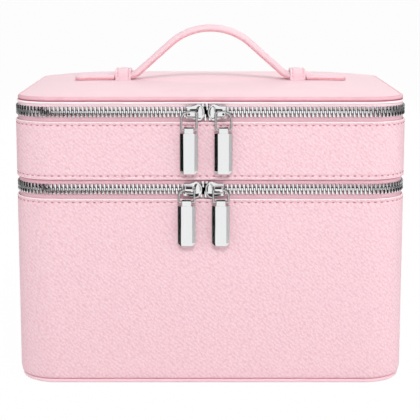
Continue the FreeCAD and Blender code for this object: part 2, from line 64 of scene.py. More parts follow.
# Case body, from the frame
base_low, base_high = span("base_wall_leather")
tray_low, tray_high = span("tray_wall_leather")
HALF_WIDTH = base_high.x
HALF_DEPTH = base_high.y
BASE_BOTTOM, BASE_TOP = base_low.z, base_high.z
TRAY_BOTTOM, TRAY_TOP = tray_low.z, tray_high.z
LID_TOP = span("lid_piping")[1].z
LID_SEAT = span("lid_top_panel")[1].z
LID_CROWN_RUN_X = 46.0
LID_CROWN_RUN_Y = 24.0
LEATHER = 1.2
ZIP_EDGE_GAP = (TRAY_BOTTOM - BASE_TOP) / 2
LOWER_ZIP_Z = BASE_TOP + ZIP_EDGE_GAP
UPPER_ZIP_Z = TRAY_TOP + ZIP_EDGE_GAP
CORNER_RADIUS = 26.0
BOARD_LAYER = 2.15
HINGE_HALF_WIDTH = span("lower_hinge_patch")[1].x

# Seams
STITCH_PITCH = 4.55
STITCH_LENGTH = 1.8
STITCH_WIDTH = 0.66
STITCH_DROP = 2.4
STITCH_SEAT = 0.2
HANDLE_PITCH = STITCH_PITCH * 0.8
RING_STEP = 2.5

# Zip chains
TOOTH_PITCH = 2.65
TAPE_FRONT = 1.4
TAPE_BACK = 2.0
TAPE_PLANE = 1.7
TAPE_EDGE = 1.42
MEETING_X = {"upper": -2.7, "lower": -4.3}
ZIP_Z = {"upper": UPPER_ZIP_Z, "lower": LOWER_ZIP_Z}
SPREAD = 2.2
SPREAD_START = 0.8
SPREAD_REACH = 8.0
CHAIN_END_X = HINGE_HALF_WIDTH + 6.2

# Handle
STRAP_WIDTH = 15.0
STRAP_THICKNESS = 4.8
ARCH_TOP_RADIUS = 42.0
ARCH_FOOT_RADIUS = 12.0
STRAP_SEAT = 0.3
STRAP_LEVEL_RUN = 3.2
TAB_THICKNESS = 3.1
TAB_RADIUS = 6.0
TAB_DROOP = 0.7
TAB_GAP = 0.6
GRIP_HALF_LENGTH = span("handle_grip")[1].x
HANDLE_APEX = span("handle_grip")[1].z

# Grain of the leather
GRAIN_LEAN = 38.0
GRAIN_PITCH = 2.35
PEBBLE_LEAN = 60.0
PEBBLE_PITCH = 1.6
PEBBLE_STRETCH = (0.75, 1.0, 1.0)
FINE_GRAIN = 0.5
RIDGE_SHARE = 0.8
LEATHER_SHINE = 0.15
WAVE_PERIOD = math.pi / 10

# Stage, in metres. A lamp has a place, the height it aims at, a size and a power
AMBIENT = 0.45
FLOOR_WHITENESS = 0.97
FLOOR_GREY = 0.94
FLOOR_SIZE = 14.0
FLOOR_Z = -0.0001
LAMPS = {
    "key": ((0.1, -1.1, 1.2), 0.15, 0.35, 11.7),
    "left": ((-1.3, -0.5, 0.5), 0.1, 0.8, 4.4),
    "right": ((1.3, -0.5, 0.5), 0.1, 0.8, 6.0),
    "top": ((0.0, 0.0, 1.4), 0.15, 1.0, 1.6),
    "back": ((0.2, 1.3, 0.9), 0.1, 1.2, 9.0),
}
CARD_HEIGHT = 0.6
CARD_REACH = 0.5
CARD_BLACK = 0.01
LEFT_GREY = 0.65
RIGHT_GREY = 0.6
SIDE_GREY = 0.2
CAMERA_LENS = 109.93
CAMERA_SHIFT = (-0.00096, -0.1)
CAMERA_PLACE = (0, -0.90507, 0.27383)
CAMERA_TILT = 80.97


# Shapes

def smooth_line(points, steps):
    """More points along a smooth line through the given ones."""
    ends = [points[0]] + list(points) + [points[-1]]
    line = []
    for a, b, c, d in zip(ends, ends[1:], ends[2:], ends[3:]):
        for step in range(steps):
            t = step / steps
            line.append(tuple(
                0.5 * (2 * q + (r - p) * t + (2 * p - 5 * q + 4 * r - s) * t ** 2
                       + (3 * q - p - 3 * r + s) * t ** 3)
                for p, q, r, s in zip(a, b, c, d)))
    line.append(tuple(points[-1]))
    return line


def smooth_loop(points, steps):
    """A closed smooth line through the given points."""
    count = len(points)
    wrapped = [points[-1]] + list(points) + [points[0], points[1]]
    line = smooth_line(wrapped, steps)
    return line[steps:steps * (count + 1)]


def smoothstep(value, low, high):
    share = min(max((value - low) / (high - low), 0.0), 1.0)
    return share * share * (3 - 2 * share)


def grid_faces(rows, columns, closed_rows):
    """Quads between rings of points."""
    faces = []
    for row in range(rows if closed_rows else rows - 1):
        below = row * columns
        above = (row + 1) % rows * columns
        for column in range(columns):
            beside = (column + 1) % columns
            faces.append((below + column, below + beside, above + beside, above + column))
    return faces


def loft(rings, closed=False):
    """A closed skin over rings of points, capped at both ends unless it joins up with itself."""
    columns = len(rings[0])
    points = [point for ring in rings for point in ring]
    faces = grid_faces(len(rings), columns, closed)
    if not closed:
        faces.append(tuple(range(columns)))
        faces.append(tuple(range(len(points) - columns, len(points))))
    return points, faces


def merged(shapes):
    """Several skins as one."""
    points, faces = [], []
    for more_points, more_faces in shapes:
        start = len(points)
        points.extend(more_points)
        faces.extend(tuple(start + corner for corner in face) for face in more_faces)
    return points, faces


def rounded_section(half_a, half_b, radius, steps=4):
    """A rectangle with round corners, as points round the middle."""
    section = []
    for turn, (way_a, way_b) in enumerate(((1, 1), (-1, 1), (-1, -1), (1, -1))):
        for step in range(steps + 1):
            angle = math.pi / 2 * (turn + step / steps)
            section.append((way_a * (half_a - radius) + radius * math.cos(angle),
                            way_b * (half_b - radius) + radius * math.sin(angle)))
    return section


def add_piece(name, shape, material, body, replaced=(), runs=None, sharp=38.0, finishes=None):
    """A mesh object from a skin in millimetres. Runs are flat coordinates for grain and weave."""
    points, faces = shape
    mesh = bpy.data.meshes.new(name)
    mesh.from_pydata([Vector(point) * MM for point in points], [], faces)
    materials = material if isinstance(material, list) else [material]
    for each in materials:
        mesh.materials.append(each)
    if finishes:
        mesh.polygons.foreach_set("material_index", finishes)
    if runs:
        layer = mesh.uv_layers.new(name="run")
        for polygon in mesh.polygons:
            flat = [runs[mesh.loops[loop].vertex_index] for loop in polygon.loop_indices]
            wraps = max(u for u, v in flat) - min(u for u, v in flat) > HALF_LENGTH
            for loop, (u, v) in zip(polygon.loop_indices, flat):
                u += 2 * HALF_LENGTH if wraps and u < 0 else 0
                layer.data[loop].uv = (u * MM, v * MM)
    shaping = bmesh.new()
    shaping.from_mesh(mesh)
    bmesh.ops.recalc_face_normals(shaping, faces=shaping.faces)
    shaping.to_mesh(mesh)
    shaping.free()
    mesh.shade_smooth()
    mesh.set_sharp_from_angle(angle=math.radians(sharp))
    piece = bpy.data.objects.new(name, mesh)
    bpy.context.scene.collection.objects.link(piece)
    if body:
        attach(piece, body)
    if replaced:
        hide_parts(*replaced)
    return piece


# The plan of the case

STRAIGHT_X = HALF_WIDTH - CORNER_RADIUS
CORNER_Y = HALF_DEPTH - CORNER_RADIUS
STRAIGHT_Y = 2 * CORNER_Y


def station(distance, inset=0.0):
    """Place on the plan, drawn in by an inset, and the turn of the wall there.

    Distances start at the middle of the front and grow to the right.
    """
    side = RIGHT if distance >= 0 else LEFT
    radius = CORNER_RADIUS - inset
    quarter = math.pi / 2 * radius
    beyond = abs(distance) - STRAIGHT_X
    if beyond <= 0:
        x, y, turn = abs(distance), -HALF_DEPTH + inset, 0.0
    elif beyond <= quarter:
        turn = beyond / radius
        x, y = STRAIGHT_X + radius * math.sin(turn), -CORNER_Y - radius * math.cos(turn)
    elif beyond <= quarter + STRAIGHT_Y:
        x, y, turn = HALF_WIDTH - inset, -CORNER_Y + beyond - quarter, math.pi / 2
    elif beyond <= 2 * quarter + STRAIGHT_Y:
        turn = math.pi / 2 + (beyond - quarter - STRAIGHT_Y) / radius
        x, y = STRAIGHT_X + radius * math.sin(turn), CORNER_Y - radius * math.cos(turn)
    else:
        x, y, turn = STRAIGHT_X - (beyond - 2 * quarter - STRAIGHT_Y), HALF_DEPTH - inset, math.pi
    return side * x, y, side * turn


def half_length(inset=0.0):
    """From the middle of the front to the middle of the back."""
    return 2 * STRAIGHT_X + math.pi * (CORNER_RADIUS - inset) + STRAIGHT_Y


HALF_LENGTH = half_length()


def on_wall(distance, inset, z):
    """A point of the wall, set in from the outside."""
    x, y, turn = station(distance)
    return x - math.sin(turn) * inset, y + math.cos(turn) * inset, z


def stops(start, end, step):
    """Evenly spaced distances from start to end."""
    count = max(2, round((end - start) / step))
    return [start + (end - start) * number / count for number in range(count + 1)]


RING = stops(-HALF_LENGTH, HALF_LENGTH, RING_STEP)[:-1]


def ring_piece(name, profile, material, body, replaced=(), finishes=None):
    """A closed profile of (inset, height) swept round the case, with a finish for each of its sides."""
    rings = [[on_wall(distance, inset, z) for inset, z in profile] for distance in RING]
    runs = [(distance, z) for distance in RING for inset, z in profile]
    all_finishes = finishes * len(RING) if finishes else None
    return add_piece(name, loft(rings, True), material, body, replaced, runs, finishes=all_finishes)


def slab_piece(name, profile, material, body, replaced=()):
    """A level sheet: an open profile from underside to top, swept round and closed above and below."""
    columns = len(profile)
    points = [on_wall(distance, inset, z) for distance in RING for inset, z in profile]
    faces = [face for number, face in enumerate(grid_faces(len(RING), columns, True))
             if number % columns != columns - 1]
    faces.append(tuple(range(0, len(points), columns)))
    faces.append(tuple(range(columns - 1, len(points), columns)))
    runs = [(x, y) for x, y, z in points]
    return add_piece(name, (points, faces), material, body, replaced, runs)


# Materials

def new_material(name):
    material = bpy.data.materials.new(name)
    material.use_nodes = True
    tree = material.node_tree
    return material, tree, tree.nodes["Principled BSDF"]


def fill(tree, node, sockets):
    """Link or set the inputs of a node."""
    for name, value in sockets.items():
        if isinstance(value, bpy.types.NodeSocket):
            tree.links.new(value, node.inputs[name])
        else:
            node.inputs[name].default_value = value


def add_node(tree, kind, sockets, **settings):
    """A node with its settings, and with its inputs linked or set."""
    node = tree.nodes.new("ShaderNode" + kind)
    for name, value in settings.items():
        setattr(node, name, value)
    fill(tree, node, sockets)
    return node


def texture(tree, kind, coordinates, size, sockets, **settings):
    """A texture with features of a size in millimetres."""
    place = {"Vector": coordinates, "Scale": 1 / (size * MM)}
    return add_node(tree, "Tex" + kind, {**place, **sockets}, **settings)


def object_coordinates(tree):
    return add_node(tree, "TexCoord", {}).outputs["Object"]


def run_coordinates(tree, turn=0.0, stretch=(1.0, 1.0, 1.0)):
    """Flat coordinates of the cut sheet, in metres, turned and then stretched."""
    run = add_node(tree, "UVMap", {}, uv_map="run").outputs["UV"]
    turned = add_node(tree, "Mapping", {"Vector": run, "Rotation": (0, 0, math.radians(turn))})
    return add_node(tree, "Mapping", {"Vector": turned.outputs["Vector"], "Scale": stretch}).outputs["Vector"]


def ramp(tree, value, low, high, bottom=0.0, top=1.0):
    """A value mapped from one range to another."""
    ranges = {"From Min": low, "From Max": high, "To Min": bottom, "To Max": top}
    return add_node(tree, "MapRange", {"Value": value, **ranges}).outputs["Result"]


def tint(tree, share, dark, light):
    """A colour between two, by a share that varies over the surface."""
    shades = {"Factor": share, "A": (*dark, 1), "B": (*light, 1)}
    return add_node(tree, "Mix", shades, data_type="RGBA").outputs["Result"]


def total(tree, first, second, weight):
    """first + weight * second."""
    return add_node(tree, "Math", {0: second, 1: weight, 2: first}, operation="MULTIPLY_ADD").outputs[0]


def bump(tree, height, strength, depth):
    """The normals of a relief with a depth in millimetres."""
    relief = {"Height": height, "Strength": strength, "Distance": depth * MM}
    return add_node(tree, "Bump", relief).outputs["Normal"]


def spread_noise(tree, noise, bottom=0.0, top=1.0):
    """Noise, which keeps near its middle, spread over a range."""
    return ramp(tree, noise.outputs["Fac"], 0.3, 0.7, bottom, top)


def grained_leather():
    """Pink leather with a low pebble grain in broken ridges that lean down to the right."""
    material, tree, shader = new_material("grained_leather")
    slant = run_coordinates(tree, GRAIN_LEAN)
    leaning = run_coordinates(tree, PEBBLE_LEAN, PEBBLE_STRETCH)
    ridges = texture(tree, "Wave", slant, GRAIN_PITCH / WAVE_PERIOD,
                     {"Distortion": 6.0, "Detail": 1.0, "Detail Scale": 3.2}, bands_direction="Y")
    pebbles = texture(tree, "Voronoi", leaning, PEBBLE_PITCH, {"Randomness": 0.8, "Smoothness": 0.35},
                      voronoi_dimensions="2D", feature="SMOOTH_F1")
    fine = texture(tree, "Noise", slant, FINE_GRAIN, {"Detail": 3.0})
    rounded = ramp(tree, pebbles.outputs["Distance"], 0.1, 0.8, 1.0, 0.0)
    crown = total(tree, rounded, ridges.outputs["Fac"], RIDGE_SHARE)
    height = total(tree, crown, fine.outputs["Fac"], 0.25)
    # The colour follows the pebbles' crown: the grain's own tone, with painted shade in the creases
    shade = ramp(tree, crown, 0.1, 0.95 + RIDGE_SHARE)
    fill(tree, shader, {"Base Color": tint(tree, shade, (0.765, 0.475, 0.535), (0.87, 0.635, 0.68)),
                        "Roughness": spread_noise(tree, fine, 0.44, 0.6),
                        "Specular IOR Level": LEATHER_SHINE,
                        "Normal": bump(tree, height, 0.5, 0.2)})
    return material


def smooth_leather(name, dark, light):
    """The same pink with a very fine, almost even grain."""
    material, tree, shader = new_material(name)
    place = object_coordinates(tree)
    fine = texture(tree, "Voronoi", place, 0.55, {"Randomness": 1.0})
    broad = texture(tree, "Noise", place, 14.0, {"Detail": 3.0})
    fill(tree, shader, {"Base Color": tint(tree, spread_noise(tree, broad), dark, light),
                        "Roughness": spread_noise(tree, broad, 0.38, 0.5),
                        "Specular IOR Level": LEATHER_SHINE,
                        "Normal": bump(tree, fine.outputs["Distance"], 0.25, 0.05)})
    return material


def mottled(name, dark, light, size, detail, roughness, relief=None, sheen=0.0):
    """Two shades mottled by noise. Roughness may be a range; relief is a strength and a depth."""
    material, tree, shader = new_material(name)
    noise = texture(tree, "Noise", object_coordinates(tree), size, {"Detail": detail})
    rough = spread_noise(tree, noise, *roughness) if isinstance(roughness, tuple) else roughness
    fill(tree, shader, {"Base Color": tint(tree, spread_noise(tree, noise), dark, light),
                        "Roughness": rough, "Sheen Weight": sheen})
    if relief:
        fill(tree, shader, {"Normal": bump(tree, noise.outputs["Fac"], *relief)})
    return material


def seam_shade_cord(name, dark, light):
    """A deep rose cord: painted shade in the groove of a seam."""
    return mottled(name, dark, light, size=4.0, detail=3.0, roughness=0.7)


def thread(name, dark, light):
    """Twisted sewing thread, a little deeper than the leather."""
    return mottled(name, dark, light, size=0.3, detail=2.0, roughness=0.6, relief=(0.5, 0.08), sheen=0.2)


def woven(name, dark, light, yarn, turn, roughness, sheen):
    """A plain weave: yarns cross over each other along and across the cloth."""
    material, tree, shader = new_material(name)
    run = run_coordinates(tree, turn)
    yarns = [texture(tree, "Wave", run, yarn / WAVE_PERIOD, {"Distortion": 0.4}, bands_direction=direction)
             for direction in "XY"]
    crossing = add_node(tree, "Math", {number: wave.outputs["Fac"] for number, wave in enumerate(yarns)},
                        operation="MULTIPLY").outputs[0]
    slub = texture(tree, "Noise", run, 3.0, {"Detail": 3.0})
    shade = ramp(tree, total(tree, crossing, slub.outputs["Fac"], 0.6), 0.1, 1.1)
    fill(tree, shader, {"Base Color": tint(tree, shade, dark, light),
                        "Roughness": spread_noise(tree, slub, roughness - 0.06, roughness + 0.06),
                        "Sheen Weight": sheen,
                        "Normal": bump(tree, crossing, 0.5, yarn / 5)})
    return material


def plated_metal(name, colour, roughness):
    """Bright plating with faint polishing marks."""
    material, tree, shader = new_material(name)
    marks = texture(tree, "Noise", object_coordinates(tree), 1.2, {"Detail": 5.0})
    fill(tree, shader, {"Base Color": (*colour, 1), "Metallic": 1.0,
                        "Roughness": spread_noise(tree, marks, roughness * 0.7, roughness * 1.4),
                        "Normal": bump(tree, marks.outputs["Fac"], 0.06, 0.05)})
    return material


def foam():
    """White open-cell foam."""
    material, tree, shader = new_material("foam")
    cells = texture(tree, "Voronoi", object_coordinates(tree), 0.7, {}).outputs["Distance"]
    colour = tint(tree, ramp(tree, cells, 0.1, 0.7, 1.0, 0.0), (0.74, 0.72, 0.66), (0.92, 0.90, 0.86))
    fill(tree, shader, {"Base Color": colour, "Roughness": 0.95, "Normal": bump(tree, cells, 0.5, 0.2)})
    return material


GRAINED = grained_leather()
SMOOTH = smooth_leather("smooth_leather", (0.855, 0.61, 0.66), (0.875, 0.645, 0.69))
# A paler copy of the smooth leather: a painted highlight on turned edges and on the lid binding
HIGHLIGHT_LEATHER = smooth_leather("painted_highlight_leather", (0.93, 0.80, 0.83), (0.97, 0.88, 0.90))
EDGE = mottled("painted_edge", (0.76, 0.34, 0.38), (0.85, 0.46, 0.49), size=1.5, detail=4.0,
               roughness=(0.3, 0.45), relief=(0.2, 0.05))
# The wall thread's own deep rose, darkened further as painted shade of its needle holes
THREAD_AND_HOLE_SHADE = thread("thread", (0.40, 0.12, 0.17), (0.55, 0.20, 0.26))
LOOP_THREAD = thread("loop_thread", (0.66, 0.30, 0.37), (0.78, 0.44, 0.50))
HANDLE_THREAD = thread("handle_thread", (0.78, 0.48, 0.54), (0.86, 0.58, 0.63))
# Cords of painted shade in the grooves of seams, darkest under the lid's welt
SEAM_SHADE = seam_shade_cord("lid_seam_shade", (0.28, 0.05, 0.075), (0.42, 0.09, 0.13))
FOOT_SEAM_SHADE = seam_shade_cord("foot_seam_shade", (0.62, 0.22, 0.30), (0.72, 0.30, 0.38))
WELT = smooth_leather("welt_leather", (0.75, 0.43, 0.48), (0.81, 0.51, 0.56))
# One tape cloth in two copies: darker as painted shade under the leather edges, lighter on the lid as painted
# light
SHADED_TAPE = woven("zip_tape", (0.68, 0.38, 0.44), (0.80, 0.55, 0.60), 0.75, 45, 0.72, 0.25)
LIT_TAPE = woven("lid_tape_lit", (0.84, 0.58, 0.63), (0.93, 0.76, 0.80), 0.75, 45, 0.72, 0.25)
LINING = woven("lining_cloth", (0.76, 0.46, 0.53), (0.90, 0.66, 0.71), 0.55, 0, 0.62, 0.35)
CHROME = plated_metal("plated_metal", (0.84, 0.845, 0.85), 0.13)
WIRE = plated_metal("plated_wire", (0.60, 0.60, 0.61), 0.15)
TOOTH_METAL = plated_metal("tooth_metal", (0.97, 0.97, 0.975), 0.28)
# Near-black plating on tooth faces: painted shade and painted dark reflection
TOOTH_SHADE_PAINT = plated_metal("tooth_painted_shade", (0.08, 0.08, 0.085), 0.3)
# Near-black plating for sheets of painted shade in a slider's openings
SLOT_SHADE = plated_metal("slot_painted_shade", (0.03, 0.03, 0.033), 0.35)
BOARD = mottled("board", (0.62, 0.58, 0.53), (0.78, 0.75, 0.70), size=1.0, detail=6.0,
                roughness=0.9, relief=(0.3, 0.1))
FOAM = foam()


# Stitches

# A stitch from end to end: share of its length, share of its width, and how deep it lies
STITCH_SECTIONS = ((-0.5, 0.45, 0.42), (-0.38, 0.85, 0.14), (-0.15, 1.0, 0.0),
                   (0.15, 1.0, 0.0), (0.38, 0.85, 0.14), (0.5, 0.45, 0.42))
STITCH_FLATNESS = 0.42
STITCH_SIDES = 6


def stitch(centre, heading, outward, length=STITCH_LENGTH, width=STITCH_WIDTH):
    """One stitch: a plump thread that dives into the leather at both ends."""
    heading = Vector(heading).normalized()
    outward = Vector(outward).normalized()
    across = heading.cross(outward)
    rings = []
    for share, size, sink in STITCH_SECTIONS:
        middle = Vector(centre) + heading * length * share - outward * sink
        ring = []
        for side in range(STITCH_SIDES):
            angle = 2 * math.pi / STITCH_SIDES * side
            ring.append(middle + across * math.cos(angle) * size * width / 2
                        + outward * math.sin(angle) * size * width * STITCH_FLATNESS)
        rings.append(ring)
    return loft(rings)


def wall_stitches(z):
    """A row of stitches all the way round the case."""
    count = round(2 * HALF_LENGTH / STITCH_PITCH)
    shapes = []
    for number in range(count):
        distance = -HALF_LENGTH + (number + 0.5) * 2 * HALF_LENGTH / count
        turn = station(distance)[2]
        shapes.append(stitch(on_wall(distance, STITCH_SEAT, z), (math.cos(turn), math.sin(turn), 0),
                             (math.sin(turn), -math.cos(turn), 0)))
    return shapes


def steps_along(line, axes):
    """Even steps along a line of points: the ends of the stretch under each step, and its share of it."""
    travelled, due = 0.0, STITCH_PITCH / 2
    for last, here in zip(line, line[1:]):
        run = math.dist(last[:axes], here[:axes])
        while run > 0 and due <= travelled + run:
            yield last, here, (due - travelled) / run
            due += HANDLE_PITCH
        travelled += run


# Leather walls, linings and floors

# A turned and stitched edge: inset and distance from the edge, from the wall's face round to its inside
TURNED_EDGE = smooth_line(
    [(0.0, 4.6), (0.04, 3.5), (0.30, 2.85), (0.42, 2.4), (0.30, 1.95), (-0.02, 1.4),
     (-0.14, 0.9), (-0.06, 0.4), (0.22, 0.08), (0.62, 0.0), (1.0, 0.12), (1.18, 0.5)], 3)


def turned_edge(edge, way):
    """The profile of a turned edge, of a wall that lies below it (-1) or above it (1)."""
    return [(inset, edge + way * run) for inset, run in TURNED_EDGE]


def edge_finishes(profile, edges):
    """Plain leather, or a paler leather on a turned edge as a painted highlight."""
    highlight_band = 0.5
    return [1 if inset < highlight_band and min(abs(z - edge) for edge in edges) < highlight_band else 0
            for inset, z in profile]


def make_base_wall():
    """The leather of the deep tier: its foot rolls in over the welt, its top edge is turned and stitched."""
    tuck, roll, steps = 1.15, 5.5, 8
    foot = []
    for step in range(steps + 1):
        angle = math.pi / 2 * step / steps
        foot.append((tuck * (1 - math.sin(angle)), BASE_BOTTOM + roll * (1 - math.cos(angle))))
    inside = [(1.18, BASE_BOTTOM + roll), (LEATHER, BASE_BOTTOM + 0.1)]
    profile = foot + turned_edge(BASE_TOP, -1) + inside
    # The turned top edge gets the paler leather as a painted highlight
    ring_piece("base_wall", profile, [GRAINED, HIGHLIGHT_LEATHER], "base", ["base_wall_leather"],
               edge_finishes(profile, [BASE_TOP]))
    row = wall_stitches(BASE_TOP - STITCH_DROP)
    add_piece("base_stitches", merged(row), THREAD_AND_HOLE_SHADE, "base")


def make_tray_wall():
    """The leather of the shallow tier, turned and stitched along both edges, over a cord of painted shade at
    its lower seam.
    """
    profile = list(reversed(turned_edge(TRAY_BOTTOM, 1))) + turned_edge(TRAY_TOP, -1)
    # Both turned edges get the paler leather as a painted highlight
    ring_piece("tray_wall", profile, [GRAINED, HIGHLIGHT_LEATHER], "tray", ["tray_wall_leather"],
               edge_finishes(profile, [TRAY_BOTTOM, TRAY_TOP]))
    rows = wall_stitches(TRAY_TOP - STITCH_DROP) + wall_stitches(TRAY_BOTTOM + STITCH_DROP)
    add_piece("tray_stitches", merged(rows), THREAD_AND_HOLE_SHADE, "tray")
    # A cord of painted shade in the gap under the tray's lower edge
    ring_piece("tray_seam_shade", round_profile(1.3, TRAY_BOTTOM - 0.3, 0.5), FOOT_SEAM_SHADE, "tray")


def lining_profile(bottom, top):
    """Cloth on the inside of a wall, rolled outward over the edge of the board."""
    outer, inner = 4.12, 4.7
    rolled = smooth_line(
        [(2.2, top - 0.6), (2.12, top - 0.35), (2.4, top - 0.08), (3.0, top), (3.7, top - 0.04),
         (4.35, top - 0.35), (4.68, top - 1.0), (inner, top - 2.5)], 3)
    return [(outer, bottom), (outer, top - 0.75)] + rolled + [(inner, bottom + 1.0), (4.66, bottom)]


def sheet_profile(inset, bottom, top):
    """A thin sheet with a soft edge that turns up by a lip."""
    lip, reach = 0.7, 6.0
    edge = smooth_line(
        [(inset, bottom), (inset - 0.02, bottom + 0.3), (inset, top + lip), (inset + 0.25, top + lip),
         (inset + 0.7, top + lip * 0.3), (inset + 1.8, top), (inset + reach, top)], 3)
    return [(inset + reach, bottom)] + edge


def declare_band(inset):
    """Works out the length of a cloth band round the inside of a wall, and does nothing with it."""
    2 * half_length(inset) * MM


def make_linings():
    """Cloth on the walls and floors of both tiers and inside the lid."""
    wall_inset, roll, seat = 4.4, 3.0, 0.05
    for tier, top in (("base", BASE_TOP), ("tray", TRAY_TOP)):
        floor_low, floor_high = span(tier + "_floor_lining")
        bottom = floor_low.z
        wall = ring_piece(tier + "_lining", lining_profile(bottom, top - seat), LINING, tier,
                          [tier + "_wall_lining"])
        declare_band(wall_inset)
        inset = HALF_WIDTH - floor_high.x
        profile = sheet_profile(inset, bottom, floor_high.z)
        floor = slab_piece(tier + "_floor", profile, LINING, tier, [tier + "_floor_lining"])
    low, high = span("tray_floor_underside")
    under = [(8.0, low.z), (BOARD_LAYER + 0.4, low.z), (BOARD_LAYER - 0.03, high.z - 0.35),
             (BOARD_LAYER, high.z - 0.1), (8.0, high.z)]
    underside = slab_piece("tray_underside", under, LINING, "tray", ["tray_floor_underside"])
    low, high = span("lid_lining")
    inner = smooth_line(
        [(14.0, low.z), (10.6, low.z), (10.0, low.z + 0.25), (9.4, low.z), (3.2, low.z),
         (2.35, low.z + 0.12), (BOARD_LAYER, low.z + 0.45), (2.4, high.z), (14.0, high.z)], 2)
    cloth = slab_piece("lid_inside", inner, LINING, "lid", ["lid_lining"])


def round_profile(middle_inset, middle_z, radius, steps=16):
    """A round welt."""
    turns = [2 * math.pi * step / steps for step in range(steps)]
    return [(middle_inset + radius * math.cos(turn), middle_z + radius * math.sin(turn)) for turn in turns]


def make_bottom():
    """The underside: a leather panel inside a welt, with a cord of painted shade in the seam above the welt.
    """
    low, high = span("base_bottom_panel")
    inset = HALF_WIDTH - high.x
    middle = inset + 7.0
    profile = [(middle, low.z), (inset + 1.2, low.z), (inset + 0.35, low.z + 0.25), (inset, low.z + 0.7),
               (inset, high.z), (middle, high.z)]
    slab_piece("bottom_panel", profile, GRAINED, "base", ["base_bottom_panel"])
    low, high = span("base_piping")
    radius = (high.z - low.z) / 2
    inset = HALF_WIDTH - high.x
    welt = round_profile(inset + radius, low.z + radius, radius)
    ring_piece("bottom_welt", welt, SMOOTH, "base", ["base_piping"])
    # A cord of painted shade in the groove above the welt
    seam = round_profile(inset + 0.5, high.z - 0.1, 0.6)
    ring_piece("bottom_seam_shade", seam, FOOT_SEAM_SHADE, "base")


def lid_ring(inset, share, z):
    """A level ring of the lid, drawn in by a share of the crown's run."""
    def drawn_in(value, straight, run):
        if abs(value) > straight:
            return value - math.copysign(run, value)
        return value * (straight - run) / straight

    run_x, run_y = share * LID_CROWN_RUN_X, share * LID_CROWN_RUN_Y
    places = [on_wall(distance, inset, z) for distance in RING]
    return [(drawn_in(x, STRAIGHT_X, run_x), drawn_in(y, CORNER_Y, run_y), z) for x, y, z in places]


def make_lid():
    """The padded leather lid, its welt, and the bound edge of the zip tape below the seam."""
    rise, steps = LID_SEAT - LID_TOP, 8
    edge_inset, rim_inset, welt_radius = 2.75, 4.3, 1.4
    shares = [step / steps for step in range(steps + 1)]
    swell = [(share, rise * (1 - (1 - share) ** 2)) for share in shares]
    rings = [lid_ring(rim_inset, share, LID_TOP - LEATHER + lift) for share, lift in reversed(swell)]
    edge = ((0, 1.0), (0.1, 0.62), (0.6, 0.24))
    rings += [lid_ring(edge_inset + inset, 0, LID_TOP - drop) for inset, drop in edge]
    rings += [lid_ring(rim_inset, share, LID_TOP + lift) for share, lift in swell]
    panel = add_piece("lid_panel", loft(rings), SMOOTH, "lid", ["lid_top_panel"], sharp=60)
    inset = HALF_WIDTH - span("lid_piping")[1].x
    welt = round_profile(inset + welt_radius, LID_TOP - welt_radius, welt_radius)
    ring_piece("lid_welt", welt, WELT, "lid", ["lid_piping"])
    seam_z = LID_TOP - 2 * welt_radius - 0.25
    # A cord of painted shade in the groove under the lid's welt
    ring_piece("lid_seam_shade", round_profile(inset + 0.75, seam_z, 0.65), SEAM_SHADE, "lid")
    hem = [(2.05, 0.3), (1.2, 0.3), (0.8, 0.55), (0.72, 0.95), (1.0, 1.35), (1.4, 1.5), (2.05, 1.55)]
    binding = smooth_line([(inset, seam_z - drop) for inset, drop in hem], 3)
    # The binding's pale leather is a painted highlight line under the seam
    ring_piece("lid_binding", binding, HIGHLIGHT_LEATHER, "lid")


# Zips

def spread_at(distance, tier):
    """How far the two halves stand apart between the sliders."""
    gap = abs(distance - MEETING_X[tier])
    return SPREAD * (1 - smoothstep(gap, SPREAD_START, SPREAD_REACH))


# A tooth from its heel to its head: height over the middle of the chain, half width, front and back inset
TOOTH_SECTIONS = [(3.4, 0.50, 0.8, 2.6), (3.25, 0.78, 0.42, 2.98), (2.8, 0.90, 0.2, 3.2),
                  (2.1, 0.88, 0.16, 3.24), (1.5, 0.74, 0.24, 3.16), (0.9, 0.50, 0.3, 3.1),
                  (0.35, 0.56, 0.24, 3.16), (-0.25, 0.58, 0.22, 3.18), (-0.75, 0.52, 0.3, 3.1),
                  (-1.05, 0.32, 0.7, 2.7)]
HEAD_HEIGHT = 1.0
TOOTH_BEVEL = 0.18
# Share of a heel's half width where its bright metal gives way to painted shade
HEEL_SPLIT = 0.5
TOOTH_SIDES = 8
LEFT_BEVEL, FRONT_SIDE, RIGHT_BEVEL = 4, 5, 6


def tooth_rings(way):
    """Rings of one tooth at the origin: along the chain, depth behind the tape's plane, height."""
    rings = []
    for height, half, front, back in TOOTH_SECTIONS:
        middle = (front + back) / 2
        depth = (back - front) / 2
        bevel = half * TOOTH_BEVEL
        flat = half - bevel
        # The heel's front splits into a bright face and a face of painted shade
        left = half * HEEL_SPLIT if way < 0 and height > HEAD_HEIGHT else flat
        right = half * HEEL_SPLIT if way > 0 and height > HEAD_HEIGHT else flat
        section = [(half, depth - bevel), (flat, depth), (-flat, depth), (-half, depth - bevel),
                   (-half, bevel - depth), (-left, -depth), (right, -depth), (half, bevel - depth)]
        rings.append([(a, middle + b - TAPE_PLANE, height * way) for a, b in section])
    return rings


def chain_shapes(tier, way):
    """All teeth of one half of a zip."""
    reach = half_length(TAPE_PLANE) - CHAIN_END_X
    count = int((reach - TOOTH_PITCH) / TOOTH_PITCH)
    tooth = tooth_rings(way)
    shapes = []
    for number in range(-count, count + 1):
        distance = (number + way / 4) * TOOTH_PITCH
        x, y, turn = station(distance, TAPE_PLANE)
        lift = ZIP_Z[tier] + way * spread_at(distance, tier)
        cosine, sine = math.cos(turn), math.sin(turn)
        shapes.append(loft([[(x + cosine * a - sine * b, y + sine * a + cosine * b, lift + z)
                             for a, b, z in ring] for ring in tooth]))
    return shapes


